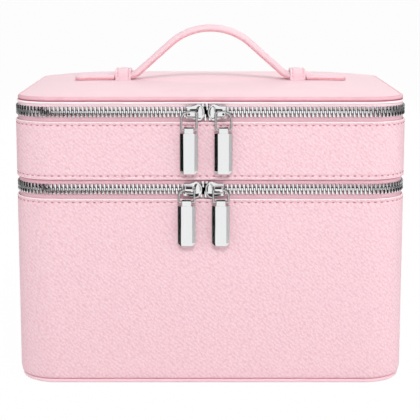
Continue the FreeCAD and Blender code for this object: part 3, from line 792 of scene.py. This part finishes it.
def tooth_finishes(way):
    """Bright heads between edges of painted shade. An upper heel keeps bright metal on its left, a lower one
    on its right; the other faces are painted dark, standing in for reflection and shade.
    """
    lit_heel_sides = {1: (LEFT_BEVEL, FRONT_SIDE), -1: (FRONT_SIDE, RIGHT_BEVEL)}
    finishes = []
    for height in [section[0] for section in TOOTH_SECTIONS[:-1]]:
        bright = (FRONT_SIDE,) if height < HEAD_HEIGHT else lit_heel_sides[way]
        finishes += [0 if side in bright else 1 for side in range(TOOTH_SIDES)]
    return finishes + [1 if way > 0 else 0, 1]


# The corded edge of a tape: depth behind the tape's plane and height over its edge
TAPE_CORD = [(-0.35, 0.9), (-0.5, 0.55), (-0.4, 0.12), (0.0, -0.05), (0.4, 0.12), (0.5, 0.55), (0.35, 0.9)]
CORD_HEIGHT = 0.9


def tape_piece(name, tier, way, far_end, body, replaced, cloth):
    """A woven tape with a corded edge under the teeth, open behind the hinge patch."""
    end = HALF_LENGTH - HINGE_HALF_WIDTH
    rings, runs = [], []
    for distance in stops(-end, end, RING_STEP):
        edge = TAPE_EDGE + spread_at(distance, tier)
        cord = [(TAPE_PLANE + depth, edge + height) for depth, height in TAPE_CORD]
        halfway = (far_end + edge + CORD_HEIGHT) / 2
        front = [(TAPE_FRONT, far_end), (TAPE_FRONT, halfway)]
        profile = front + cord + [(TAPE_BACK, halfway), (TAPE_BACK, far_end)]
        rings.append([on_wall(distance, inset, ZIP_Z[tier] + way * height) for inset, height in profile])
        runs.extend((distance, height) for inset, height in profile)
    return add_piece(name, loft(rings), cloth, body, [replaced], runs)


def make_zips():
    """Tapes and teeth of both zips."""
    halves = (("lower", -1, "base"), ("lower", 1, "tray"), ("upper", -1, "tray"), ("upper", 1, "lid"))
    for tier, way, body in halves:
        suffix = "_" + body
        tape_node = tier + "_zip_tape" + suffix
        low, high = span(tape_node)
        far_end = abs((high.z if way > 0 else low.z) - ZIP_Z[tier])
        # The lid's tape takes the lighter copy as painted light, the others the darker copy as painted shade
        cloth = LIT_TAPE if body == "lid" else SHADED_TAPE
        tape_piece(tier + "_tape" + suffix, tier, way, far_end, body, tape_node, cloth)
        shapes = chain_shapes(tier, way)
        # Each tooth face is bright metal or painted shade
        add_piece(tier + "_teeth" + suffix, merged(shapes), [TOOTH_METAL, TOOTH_SHADE_PAINT], body,
                  [tier + "_zip_teeth" + suffix], sharp=30, finishes=tooth_finishes(way) * len(shapes))


# Sliders and pulls, drawn for the right-hand side from the meeting point of the pair

UPPER_OUTLINE = [(1.35, 2.6), (2.9, 4.7), (5.0, 5.6), (7.2, 5.0), (9.2, 4.35), (11.6, 4.35), (13.0, 4.1),
                 (13.3, 2.6)]
SLIDER_OUTLINE = smooth_loop([(0.85, 0.0)] + UPPER_OUTLINE + [(u, -v) for u, v in reversed(UPPER_OUTLINE)], 4)
SLIDER_SPINE = (3.7, 10.5)
NOSE_DOME = 1.0
NOSE_CENTRE = 3.7
NOSE_HALF_LENGTH = 2.75
NOSE_HALF_HEIGHT = 4.3
PLATE_BACK_Y = -HALF_DEPTH - 0.3
FLANGE_Y = -HALF_DEPTH + 1.05


def slider_ring(share, y_at):
    """The slider's outline drawn towards its spine by a share, at a depth that may vary over it."""
    ring = []
    for u, v in SLIDER_OUTLINE:
        middle = min(max(u, SLIDER_SPINE[0]), SLIDER_SPINE[1])
        near_u, near_v = u + (middle - u) * share, v * (1 - share)
        ring.append((near_u, y_at(near_u, near_v), near_v))
    return ring


def level_at(y):
    return lambda u, v: y


def dome_at(y):
    """A face at a depth, with a dome over the nose."""
    def depth_at(u, v):
        reach = 1 - ((u - NOSE_CENTRE) / NOSE_HALF_LENGTH) ** 2 - (v / NOSE_HALF_HEIGHT) ** 2
        return y - NOSE_DOME * math.sqrt(max(reach, 0.0))
    return depth_at


def flange_at(depth):
    """The edge folds back towards the tape along both sides, but not at the nose and the tail."""
    def depth_at(u, v):
        side = smoothstep(abs(v), 2.8, 4.2) * smoothstep(u, 2.0, 4.5) * (1 - smoothstep(u, 12.2, 13.2))
        return PLATE_BACK_Y + (depth - PLATE_BACK_Y) * side
    return depth_at


def slider_shell():
    """The domed front plate with its rim and folded sides."""
    crown = [(0.0, -0.95), (0.04, -1.3), (0.1, -1.5), (0.16, -1.42), (0.22, -1.3), (0.28, -1.35),
             (0.34, -1.45), (0.42, -1.5), (0.52, -1.55), (0.64, -1.6), (0.78, -1.6), (0.9, -1.6),
             (0.97, -1.6)]
    folds = ((0.17, 0.1), (0.08, 0.0), (0.0, -0.4))
    rings = [slider_ring(share, level_at(PLATE_BACK_Y)) for share in (0.97, 0.2)]
    rings += [slider_ring(share, flange_at(FLANGE_Y + lift)) for share, lift in folds]
    rings += [slider_ring(share, dome_at(-HALF_DEPTH + depth)) for share, depth in crown]
    return loft(rings)


def slider_back():
    """The plate behind the tape."""
    front = -HALF_DEPTH + 3.45
    levels = ((0.9, 0.0), (0.18, 0.0), (0.12, 0.35), (0.18, 0.9), (0.9, 1.0))
    return loft([slider_ring(share, level_at(front + depth)) for share, depth in levels])


def slider_post():
    """The wedge that joins both plates between the two rows of teeth."""
    front, back = PLATE_BACK_Y - 0.2, -HALF_DEPTH + 3.6
    section = [(1.7, 0.0), (2.4, 0.24), (5.2, 0.1), (5.2, -0.1), (2.4, -0.24)]
    return loft([[(u, y, v) for u, v in section] for y in (front, back)])


HOOD_LIFT = {"upper": 0.0, "lower": 1.5}
HOOD_START, HOOD_END = 6.9, 12.3
HOOD_BORE = 0.92
BAIL_Y = -HALF_DEPTH - 2.4


def slider_hood(tier):
    """The hollow bridge over the crossbar of the bail, which sits higher on the lower zip."""
    lift, plate_face = HOOD_LIFT[tier], -1.5
    arch = [(-3.6, -1.2), (-3.4, -2.6), (-2.6, -3.7), (-1.0, -4.3), (0.5, -4.1), (1.1, -3.2), (1.2, -1.2)]
    outer = smooth_loop([(v + lift, depth) for v, depth in arch], 4)
    rings = []
    for u, size in ((HOOD_START, 0.9), (7.3, 1.0), (9.5, 1.0), (11.9, 1.0), (HOOD_END, 0.9)):
        rings.append([(u, -HALF_DEPTH + (depth * size if depth < plate_face else depth), v * size)
                      for v, depth in outer])
    turns = [2 * math.pi * step / len(outer) for step in range(len(outer))]
    for u in (HOOD_END, HOOD_START):
        rings.append([(u, BAIL_Y + HOOD_BORE * math.sin(turn), HOOD_BORE * math.cos(turn)) for turn in turns])
    return loft(rings, True)


def slider_slot(tier):
    """Dark sheets of painted shade in the slot above the bridge and the hole at its tail, or in the window
    and the hollow below it.
    """
    slot = [(8.2 + 2.6 * a, 1.75 + 0.55 * b)
            for a, b in ((-1, -0.6), (-0.6, -1), (0.6, -1), (1, -0.4), (0.7, 0.8), (-0.7, 1))]
    hole = [(10.9 + 0.75 * math.cos(math.pi / 4 * step), -0.9 + 0.75 * math.sin(math.pi / 4 * step))
            for step in range(8)]
    window = [(7.3, 0.9), (11.5, 0.9), (11.5, 2.1), (7.3, 2.1)]
    hollow = [(3.0, -2.2), (4.6, -2.5), (7.0, -3.0), (10.2, -3.0), (11.2, -3.4), (9.2, -3.8), (7.0, -4.3),
              (5.0, -4.7), (3.7, -4.2)]
    outlines = {"upper": [(slot, -1.2, -1.78), (hole, -3.8, -4.36)],
                "lower": [(window, -3.8, -4.42), (hollow, -1.2, -1.72)]}
    shapes = []
    for outline, *depths in outlines[tier]:
        rings = [[(u, dome_at(-HALF_DEPTH + depth)(u, v), v) for u, v in outline] for depth in depths]
        shapes.append(loft(rings))
    return merged(shapes)


PULL_CENTRE_X = 11.05
PULL_LENGTH = 26.3
PULL_EDGE_ROUNDING = 0.16


def pull_shape(bottom, shoulder, top, wide):
    """A bevelled bar with a square neck, from the top down."""
    thick, edge, flat_half, corner = 1.5, 0.65, 3.5, 2.0
    neck_half, neck_flat, neck_bevel = 3.2, 2.9, 0.9

    def section(half, flat, z, deep=1.0):
        return [(PULL_CENTRE_X + a, BAIL_Y + b * deep, z) for a, b in (
            (-half, -edge), (-flat, -thick), (flat, -thick), (half, -edge),
            (half, edge), (flat, thick), (-flat, thick), (-half, edge))]

    return loft([section(neck_half, neck_flat, top, 0.4), section(neck_half, neck_flat, top - neck_bevel),
                 section(neck_half, neck_flat, shoulder), section(wide, flat_half, shoulder),
                 section(wide, flat_half, bottom + corner), section(wide - corner, flat_half - 0.1, bottom)])


def placed(shape, side, meeting, level):
    """A shape drawn for the right, set on its zip on either side."""
    points, faces = shape
    return [(meeting + side * u, y, level + v) for u, y, v in points], faces


def soften(piece, width):
    """Narrow rounded edges that catch the light."""
    edges = piece.modifiers.new("edges", "BEVEL")
    edges.width = width * MM
    edges.segments = 2
    edges.limit_method = "ANGLE"
    edges.angle_limit = math.radians(20)
    edges.harden_normals = True


def make_sliders():
    """Two sliders on each zip, nose to nose, each with its pull."""
    for tier in ("upper", "lower"):
        level, meeting = ZIP_Z[tier], MEETING_X[tier]
        casting = merged([slider_shell(), slider_back(), slider_post(), slider_hood(tier)])
        slot = slider_slot(tier)
        for side_name, side in SIDES.items():
            body = tier + "_slider_" + side_name
            place = (side, meeting, level)
            add_piece(body + "_casting", placed(casting, *place), CHROME, body, [body], sharp=45)
            # Sheets of painted shade in the slider's openings
            add_piece(body + "_slot_shade", placed(slot, *place), SLOT_SHADE, body)
            node = tier + "_pull_" + side_name
            low, high = span(node)
            bottom = low.z - level
            bar = pull_shape(bottom, bottom + PULL_LENGTH, high.z - level, (high.x - low.x) / 2)
            pull = add_piece(node + "_bar", placed(bar, *place), CHROME, node, [node], sharp=4)
            soften(pull, PULL_EDGE_ROUNDING)


# Hinge patches

HINGE_INNER, HINGE_OUTER = HALF_DEPTH + 0.16, HALF_DEPTH + 1.4
LAP_SEAM = 2.2


def hinge_lap(edge, way):
    """A lap with a groove for its stitches, from its cut edge towards the crease."""
    lap = ((0.35, 0.05), (0.0, 0.6), (0.0, 1.6), (0.16, LAP_SEAM), (0.0, 2.8))
    return [(HINGE_INNER, edge)] + [(HINGE_OUTER - sink, edge + way * run) for sink, run in lap]


def hinge_crease(axis):
    """The shallow crease along the zip line."""
    crease = ((0.0, -3.0), (0.3, -1.3), (0.45, 0.0), (0.3, 1.3), (0.0, 3.0))
    return [(HINGE_OUTER - sink, axis + rise) for sink, rise in crease]


def patch_piece(name, outside, inside):
    """A leather strip across the back, between two bodies of the case."""
    profile = smooth_line(outside, 3) + inside
    rings, runs = [], []
    for x in stops(-HINGE_HALF_WIDTH, HINGE_HALF_WIDTH, 4.0):
        rings.append([(x, y, z) for y, z in profile])
        runs.extend((x, z) for y, z in profile)
    piece = add_piece(name, loft(rings), GRAINED, None, [name + "_patch"], runs)
    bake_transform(piece)


def patch_stitches(name, z, body):
    """A row of stitches along a lap of a hinge patch."""
    half = HINGE_HALF_WIDTH - 1.5
    count = round(2 * half / STITCH_PITCH)
    places = [(-half + (number + 0.5) * 2 * half / count, HALF_DEPTH + 1.32, z) for number in range(count)]
    shapes = [stitch(place, (1, 0, 0), (0, 1, 0)) for place in places]
    add_piece(name, merged(shapes), THREAD_AND_HOLE_SHADE, body)


def make_hinges():
    """Leather hinges with a crease along the zip line and stitched laps."""
    low, high = span("lower_hinge_patch")
    outside = hinge_lap(low.z, 1) + hinge_crease(LOWER_ZIP_Z) + list(reversed(hinge_lap(high.z, -1)))
    inside = [(HINGE_INNER, LOWER_ZIP_Z + rise) for rise in (5.0, 2.5, 0.0, -2.5, -5.0)]
    patch_piece("lower_hinge", outside, inside)
    patch_stitches("lower_hinge_stitches_base", low.z + LAP_SEAM, "base")
    patch_stitches("lower_hinge_stitches_tray", high.z - LAP_SEAM, "tray")
    low, high = span("upper_hinge_patch")
    fold = HALF_DEPTH - TAPE_PLANE
    turned_in = [(HINGE_OUTER, high.z - 1.2), (HINGE_OUTER - 0.3, high.z - 0.3), (HINGE_OUTER - 1.1, high.z),
                 (fold, high.z)]
    outside = hinge_lap(low.z, 1) + hinge_crease(UPPER_ZIP_Z) + turned_in
    inside = [(fold, high.z - 1.2), (HINGE_INNER, high.z - 1.25)]
    inside += [(HINGE_INNER, UPPER_ZIP_Z + rise) for rise in (3.0, 0.0, -3.0)]
    patch_piece("upper_hinge", outside, inside)
    patch_stitches("upper_hinge_stitches", low.z + LAP_SEAM, "tray")


# Dividers

# From the bound edge of a divider to its middle: share of the way in, and half thickness as a share
DIVIDER_SWELL = [(0.0, 0.04), (0.02, 0.18), (0.06, 0.25), (0.12, 0.24), (0.2, 0.34), (0.4, 0.44), (0.7, 0.48),
                 (1.0, 0.49)]
DIVIDER_CORNER = 6.0
DIVIDER_WAY_IN = 0.32


def divider_piece(node):
    """A padded panel: two crowned faces inside a bound edge."""
    low, high = span(node)
    size = high - low
    along_x = size.x > size.y
    length, thick = (size.x, size.y) if along_x else (size.y, size.x)
    half_span, half_height = length / 2, size.z / 2
    swell = [(share, half * thick) for share, half in DIVIDER_SWELL]
    rim = rounded_section(half_span, half_height, DIVIDER_CORNER, 6)
    skin, runs = [], []
    for share, offset in [(share, -half) for share, half in reversed(swell)] + swell:
        way_in = share * min(size.z, length) * DIVIDER_WAY_IN
        ring = [[half + math.copysign(max(abs(value) - way_in, 0), value)
                 for value, half in ((a, half_span), (b, half_height))] for a, b in rim]
        runs += [tuple(place) for place in ring]
        if along_x:
            skin.append([(low.x + a, (low.y + high.y) / 2 + offset, low.z + b) for a, b in ring])
        else:
            skin.append([((low.x + high.x) / 2 + offset, low.y + a, low.z + b) for a, b in ring])
    piece = add_piece(node + "_pad", loft(skin), LINING, "base", [node], runs)


def make_dividers():
    for node in ("divider_long", "divider_cross_left", "divider_cross_right"):
        divider_piece(node)


# Handle

def arch_path():
    """Right half of the strap's centre line as (x, z, slope), from the middle of the grip to the loop."""
    loop_low, loop_high = span("handle_loop_right")
    foot_x = (loop_low.x + loop_high.x) / 2 - STRAP_LEVEL_RUN
    foot_z = LID_SEAT + STRAP_SEAT + STRAP_THICKNESS / 2
    apex_z = HANDLE_APEX - STRAP_THICKNESS / 2
    both = ARCH_TOP_RADIUS + ARCH_FOOT_RADIUS
    rise = apex_z - foot_z
    flank = math.sqrt(foot_x ** 2 + (both - rise) ** 2 - both ** 2)
    slope = math.asin((both * foot_x + flank * (rise - both)) / (both ** 2 + flank ** 2))
    hidden_turn = math.asin((foot_x - loop_low.x - 0.3) / ARCH_FOOT_RADIUS)

    def bent(middle_x, edge_z, radius, turn):
        return middle_x + radius * math.sin(turn), edge_z - radius * (1 - math.cos(turn)), -turn

    path = [bent(0.0, apex_z, ARCH_TOP_RADIUS, turn) for turn in stops(0, slope, 0.06)]
    top_x, top_z = path[-1][:2]
    for distance in stops(0, flank, 2.5)[1:]:
        path.append((top_x + distance * math.cos(slope), top_z - distance * math.sin(slope), -slope))
    path += [bent(foot_x, foot_z, -ARCH_FOOT_RADIUS, turn) for turn in stops(slope, hidden_turn, -0.08)[1:]]
    return path


def strap_section():
    """Width and height of the strap's skin: a padded upper leather on a flat lower one with painted edges."""
    half, deep = STRAP_WIDTH / 2, STRAP_THICKNESS / 2
    flank = [(0.5, -1.4), (0.12, -0.8), (0.0, 0.0), (0.35, 1.0), (1.1, 1.62), (1.7, 1.8), (2.1, 1.72),
             (3.2, 2.12), (4.5, deep - 0.04)]
    upper = smooth_line([(-half + run, rise) for run, rise in flank] + [(0.0, deep)]
                        + [(half - run, rise) for run, rise in reversed(flank)], 2)
    edge = [(0.65, -1.45), (0.5, -1.7), (0.6, -2.15), (1.0, -deep), (2.4, -deep)]
    lower = [(half - run, rise) for run, rise in edge] + [(-half + run, rise) for run, rise in reversed(edge)]
    return upper + lower, len(upper)


def make_strap():
    """The strap from the grip's middle to the loops."""
    path = arch_path()
    section, painted_from = strap_section()
    columns = len(section)
    painted = set(range(painted_from - 1, painted_from + 3)) | set(range(columns - 4, columns))
    ring_finishes = [1 if column in painted else 0 for column in range(columns)]
    for side_name, side in SIDES.items():
        rings = [[(side * (x - math.sin(slope) * h), w, z + math.cos(slope) * h) for w, h in section]
                 for x, z, slope in path]
        finishes = ring_finishes * (len(rings) - 1) + [0, 0]
        strap = add_piece("strap_" + side_name, loft(rings), [SMOOTH, EDGE], None,
                          ["handle_flank_" + side_name], finishes=finishes, sharp=60)
        if side == LEFT:
            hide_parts("handle_grip")
        row = merged(strap_stitches(path, side))
        seam = add_piece("strap_stitches_" + side_name, row, HANDLE_THREAD, None)
        for piece in (strap, seam):
            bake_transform(piece)


def strap_stitches(path, side):
    """Two rows of stitches along the upper face of the strap."""
    row, seat, length, width = STRAP_WIDTH / 2 - 2.1, 1.68, 1.8, 0.36
    shapes = []
    for last, here, share in steps_along(path, 2):
        x, z, slope = [a + (b - a) * share for a, b in zip(last, here)]
        sine, cosine = math.sin(slope), math.cos(slope)
        for way in (-1, 1):
            centre = (side * (x - sine * seat), way * row, z + cosine * seat)
            shapes.append(stitch(centre, (side * cosine, 0, sine), (-side * sine, 0, cosine), length, width))
    return shapes


def tab_outline(start, end, half, inset):
    """Plan of a tab: square at the loop, round at the far end."""
    corner, turn, steps = max(TAB_RADIUS - inset, 0.0), max(TAB_RADIUS, inset), 8
    outline = [(start + inset, -half + inset), (start + inset, half - inset)]
    for way, first in ((1, 1), (-1, 0)):
        for step in range(steps + 1):
            angle = math.pi / 2 * (first - step / steps)
            y = way * (half - turn) + corner * math.sin(angle)
            outline.append((end - turn + corner * math.cos(angle), y))
    return outline


# A tab from its underside to its top: inset, share of its thickness, and finish
TAB_LEVELS = [(0.45, 0.0, 1), (0.12, 0.03, 1), (0.0, 0.12, 1), (0.05, 0.35, 1), (0.28, 0.39, 0),
              (0.05, 0.44, 0), (0.0, 0.62, 0), (0.12, 0.78, 0), (0.5, 0.9, 0), (1.1, 0.955, 0),
              (1.6, 0.95, 0), (2.0, 0.93, 0), (2.4, 0.965, 0), (3.2, 1.0, 0), (4.5, 1.05, 0), (5.9, 1.07, 0)]
TAB_SEAM = 2.0
TAB_SEAM_LEVEL = 0.95


def make_tabs():
    """The flat ends of the strap: two leathers with a painted edge, sewn round, and a neck to the loop."""
    low, high = span("handle_tab_right")
    loop_low, loop_high = span("handle_loop_right")
    start, end, half, bottom = loop_high.x + TAB_GAP, high.x, high.y, low.z
    neck_sections = ((loop_low.x + 0.7, 1.0, 0.0), (start + 1.0, 1.0, 0.0), (start + 3.2, 0.97, 0.5),
                     (start + 5.2, 0.93, 1.7))
    section = rounded_section(STRAP_WIDTH / 2 - 0.1, STRAP_THICKNESS / 2 - 0.1, 1.7)
    neck_z, neck_height = bottom + STRAP_THICKNESS / 2, 0.97

    def drooping(side, x, y, rise):
        droop = TAB_DROOP * ((x - start) / (end - start)) ** 2
        return side * x, y, bottom + rise * TAB_THICKNESS - droop

    for side_name, side in SIDES.items():
        rings = [[drooping(side, x, y, rise) for x, y in tab_outline(start, end, half, inset)]
                 for inset, rise, finish in TAB_LEVELS]
        neck = loft([[(side * x, w * size, neck_z - drop + h * neck_height) for w, h in section]
                     for x, size, drop in neck_sections])
        finishes = [finish for inset, rise, finish in TAB_LEVELS[:-1] for point in rings[0]] + [1, 0]
        finishes += [0] * len(neck[1])
        body = "handle_tab_" + side_name
        leather = merged([loft(rings), neck])
        add_piece(body + "_leather", leather, [SMOOTH, EDGE], body, [body],
                  finishes=finishes, sharp=45)
        line = [drooping(side, x, y, TAB_SEAM_LEVEL) for x, y in tab_outline(start, end, half, TAB_SEAM)[1:]]
        add_piece(body + "_stitches", merged(row_along(line)), HANDLE_THREAD, body)


def row_along(line):
    """Stitches along a level line of points, facing up."""
    length, width = 2.0, 0.5
    shapes = []
    for last, here, share in steps_along(line, 3):
        a, b = Vector(last), Vector(here)
        shapes.append(stitch(a.lerp(b, share), b - a, (0, 0, 1), length, width))
    return shapes


def make_loops():
    """Keeper loops: a folded leather band over the strap, sewn along both edges."""
    low, high = span("handle_loop_right")
    centre, half_band = (low.x + high.x) / 2, (high.x - low.x) / 2
    thick, turn_radius, steps = 1.8, 3.6, 6
    deep = thick / 2
    middle, crest, bend = high.y - deep, high.z - deep, turn_radius - deep
    path = [(-middle, z, math.pi / 2) for z in stops(low.z, crest - bend, 1.5)]
    for step in range(1, steps + 1):
        angle = math.pi / 2 * (1 - step / steps)
        path.append((-middle + bend - bend * math.sin(angle), crest - bend + bend * math.cos(angle), angle))
    path += [(y, crest, 0.0) for y in stops(-middle + bend, middle - bend, 2.0)[1:]]
    path += [(-y, z, -angle) for y, z, angle in reversed(path) if y < -middle + bend]
    groove = deep * 0.5
    seam, seat = half_band - 1.9, groove + 0.05
    right_skin = [(0.0, deep + 0.12), (half_band - 2.9, deep), (seam, groove), (half_band - 1.0, deep),
                  (half_band - 0.25, deep * 0.75), (half_band, 0.0), (half_band - 0.25, -deep * 0.9),
                  (half_band - 1.0, -deep)]
    skin = smooth_loop(right_skin + [(-a, h) for a, h in reversed(right_skin[1:])], 3)
    for side_name, side in SIDES.items():
        node = "handle_loop_" + side_name
        rings, shapes = [], []
        for number, (y, z, angle) in enumerate(path):
            sine, cosine = math.sin(angle), math.cos(angle)
            rings.append([(side * centre + a, y - sine * h, z + cosine * h) for a, h in skin])
            if number >= 2 and number % 2 == 0:
                for way in (-1, 1):
                    place = (side * centre + way * seam, y - sine * seat, z + cosine * seat)
                    shapes.append(stitch(place, (0, cosine, sine), (0, -sine, cosine), 1.5, 0.5))
        add_piece(node + "_band", loft(rings), SMOOTH, "lid", [node], sharp=60)
        add_piece(node + "_stitches", merged(shapes), LOOP_THREAD, "lid")


# Pieces of the frame that keep their own shape

def dress_frame():
    """Finishes for the boards, foams, wires and stops of the frame."""
    finishes = {"board": BOARD, "foam": FOAM, "stops": CHROME, "bail": WIRE}
    for name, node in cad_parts.items():
        for word, material in finishes.items():
            if word in name.split("_"):
                node.data.materials.clear()
                node.data.materials.append(material)
                node.data.shade_smooth()
                node.data.set_sharp_from_angle(angle=math.radians(35))


# Stage

def white_to_view(tree):
    """A share that is one for rays from the camera, mirrors and glass."""
    rays = add_node(tree, "LightPath", {}).outputs
    share = rays["Is Camera Ray"]
    for name in ("Is Glossy Ray", "Is Transmission Ray"):
        share = add_node(tree, "Math", {0: share, 1: rays[name]}, operation="MAXIMUM").outputs[0]
    return share


def mix_to_output(tree, kind, share, plain, seen):
    """The plain shader, and by a share the one that is seen."""
    mix = add_node(tree, "MixShader", {"Fac": share, 1: plain.outputs[0], 2: seen.outputs[0]})
    add_node(tree, kind, {"Surface": mix.outputs[0]})


def make_world():
    """White to the camera and to mirrors, and soft light on the object."""
    world = bpy.data.worlds.new("studio")
    world.use_nodes = True
    bpy.context.scene.world = world
    tree = world.node_tree
    tree.nodes.clear()
    soft = add_node(tree, "Background", {"Strength": AMBIENT})
    seen = add_node(tree, "Background", {"Color": (1, 1, 1, 1)})
    mix_to_output(tree, "OutputWorld", white_to_view(tree), soft, seen)


def add_sheet(name, corners, material, mirrors_only):
    """A flat sheet of the stage, which may be there for mirror-like surfaces alone."""
    mesh = bpy.data.meshes.new(name)
    mesh.from_pydata(corners, [], [(0, 1, 2, 3)])
    mesh.materials.append(material)
    sheet = bpy.data.objects.new(name, mesh)
    if mirrors_only:
        sheet.visible_camera = False
        sheet.visible_diffuse = False
        sheet.visible_transmission = False
        sheet.visible_shadow = False
    bpy.context.scene.collection.objects.link(sheet)


def make_floor():
    """A pale floor that looks almost white and keeps the object's shadow."""
    material = bpy.data.materials.new("floor")
    material.use_nodes = True
    tree = material.node_tree
    tree.nodes.clear()
    lit = add_node(tree, "BsdfDiffuse", {"Color": (FLOOR_GREY, FLOOR_GREY, FLOOR_GREY, 1)})
    glow = add_node(tree, "Emission", {})
    part = add_node(tree, "Math", {0: white_to_view(tree), 1: FLOOR_WHITENESS}, operation="MULTIPLY")
    mix_to_output(tree, "OutputMaterial", part.outputs[0], lit, glow)
    ends = ((-1, -1), (1, -1), (1, 1), (-1, 1))
    add_sheet("floor", [(x * FLOOR_SIZE, y * FLOOR_SIZE, FLOOR_Z) for x, y in ends], material, False)


def add_card(name, corners, grey):
    """A studio card that only mirror-like surfaces show."""
    material, tree, shader = new_material(name)
    fill(tree, shader, {"Base Color": (grey, grey, grey, 1), "Specular IOR Level": 0.0})
    add_sheet(name, corners, material, True)


def make_cards():
    """Black cards near the left, overhead and on the floor, grey ones at the front and at both sides."""
    def standing(start, end):
        return [(*start, 0), (*end, 0), (*end, CARD_HEIGHT), (*start, CARD_HEIGHT)]

    def lying(right, near, far, z):
        return [(-CARD_REACH, near, z), (right, near, z), (right, far, z), (-CARD_REACH, far, z)]

    left_middle = (-0.29, -0.2933)
    left_end, right_end = (-CARD_REACH, -0.2), (CARD_REACH, -0.2)
    add_card("left_card", standing((-0.14, -0.36), left_middle), CARD_BLACK)
    add_card("left_grey_card", standing(left_middle, left_end), LEFT_GREY)
    add_card("left_side_card", standing(left_end, (-CARD_REACH, 0.9)), SIDE_GREY)
    add_card("right_side_card", standing(right_end, (CARD_REACH, 0.9)), SIDE_GREY)
    add_card("grey_card", standing((0.14, -0.36), right_end), RIGHT_GREY)
    add_card("top_card", lying(CARD_REACH, -0.4, 0.0, CARD_HEIGHT + 0.1), CARD_BLACK)
    add_card("floor_card", lying(0.04, -0.185, -0.1, 0.001), CARD_BLACK)


def make_lamps():
    """Soft lamps that mirror-like surfaces don't show."""
    for name, (place, aim_height, size, power) in LAMPS.items():
        lamp = bpy.data.lights.new(name, "AREA")
        lamp.size = size
        lamp.energy = power
        piece = bpy.data.objects.new(name, lamp)
        piece.location = place
        piece.visible_glossy = False
        heading = Vector((0, 0, aim_height)) - Vector(place)
        piece.rotation_euler = heading.to_track_quat("-Z", "Y").to_euler()
        bpy.context.scene.collection.objects.link(piece)


def make_camera():
    """The photograph's view: in front, a little above."""
    lens = bpy.data.cameras.new("camera")
    lens.lens = CAMERA_LENS
    lens.shift_x, lens.shift_y = CAMERA_SHIFT
    camera = bpy.data.objects.new("camera", lens)
    camera.location = CAMERA_PLACE
    camera.rotation_euler = (math.radians(CAMERA_TILT), 0, 0)
    bpy.context.scene.collection.objects.link(camera)
    bpy.context.scene.camera = camera


def main():
    bpy.context.scene.view_settings.view_transform = "Standard"
    make_camera()
    make_world()
    make_floor()
    make_lamps()
    make_cards()
    dress_frame()
    make_base_wall()
    make_tray_wall()
    make_linings()
    make_bottom()
    make_lid()
    make_zips()
    make_sliders()
    make_hinges()
    make_dividers()
    make_strap()
    make_tabs()
    make_loops()


main()
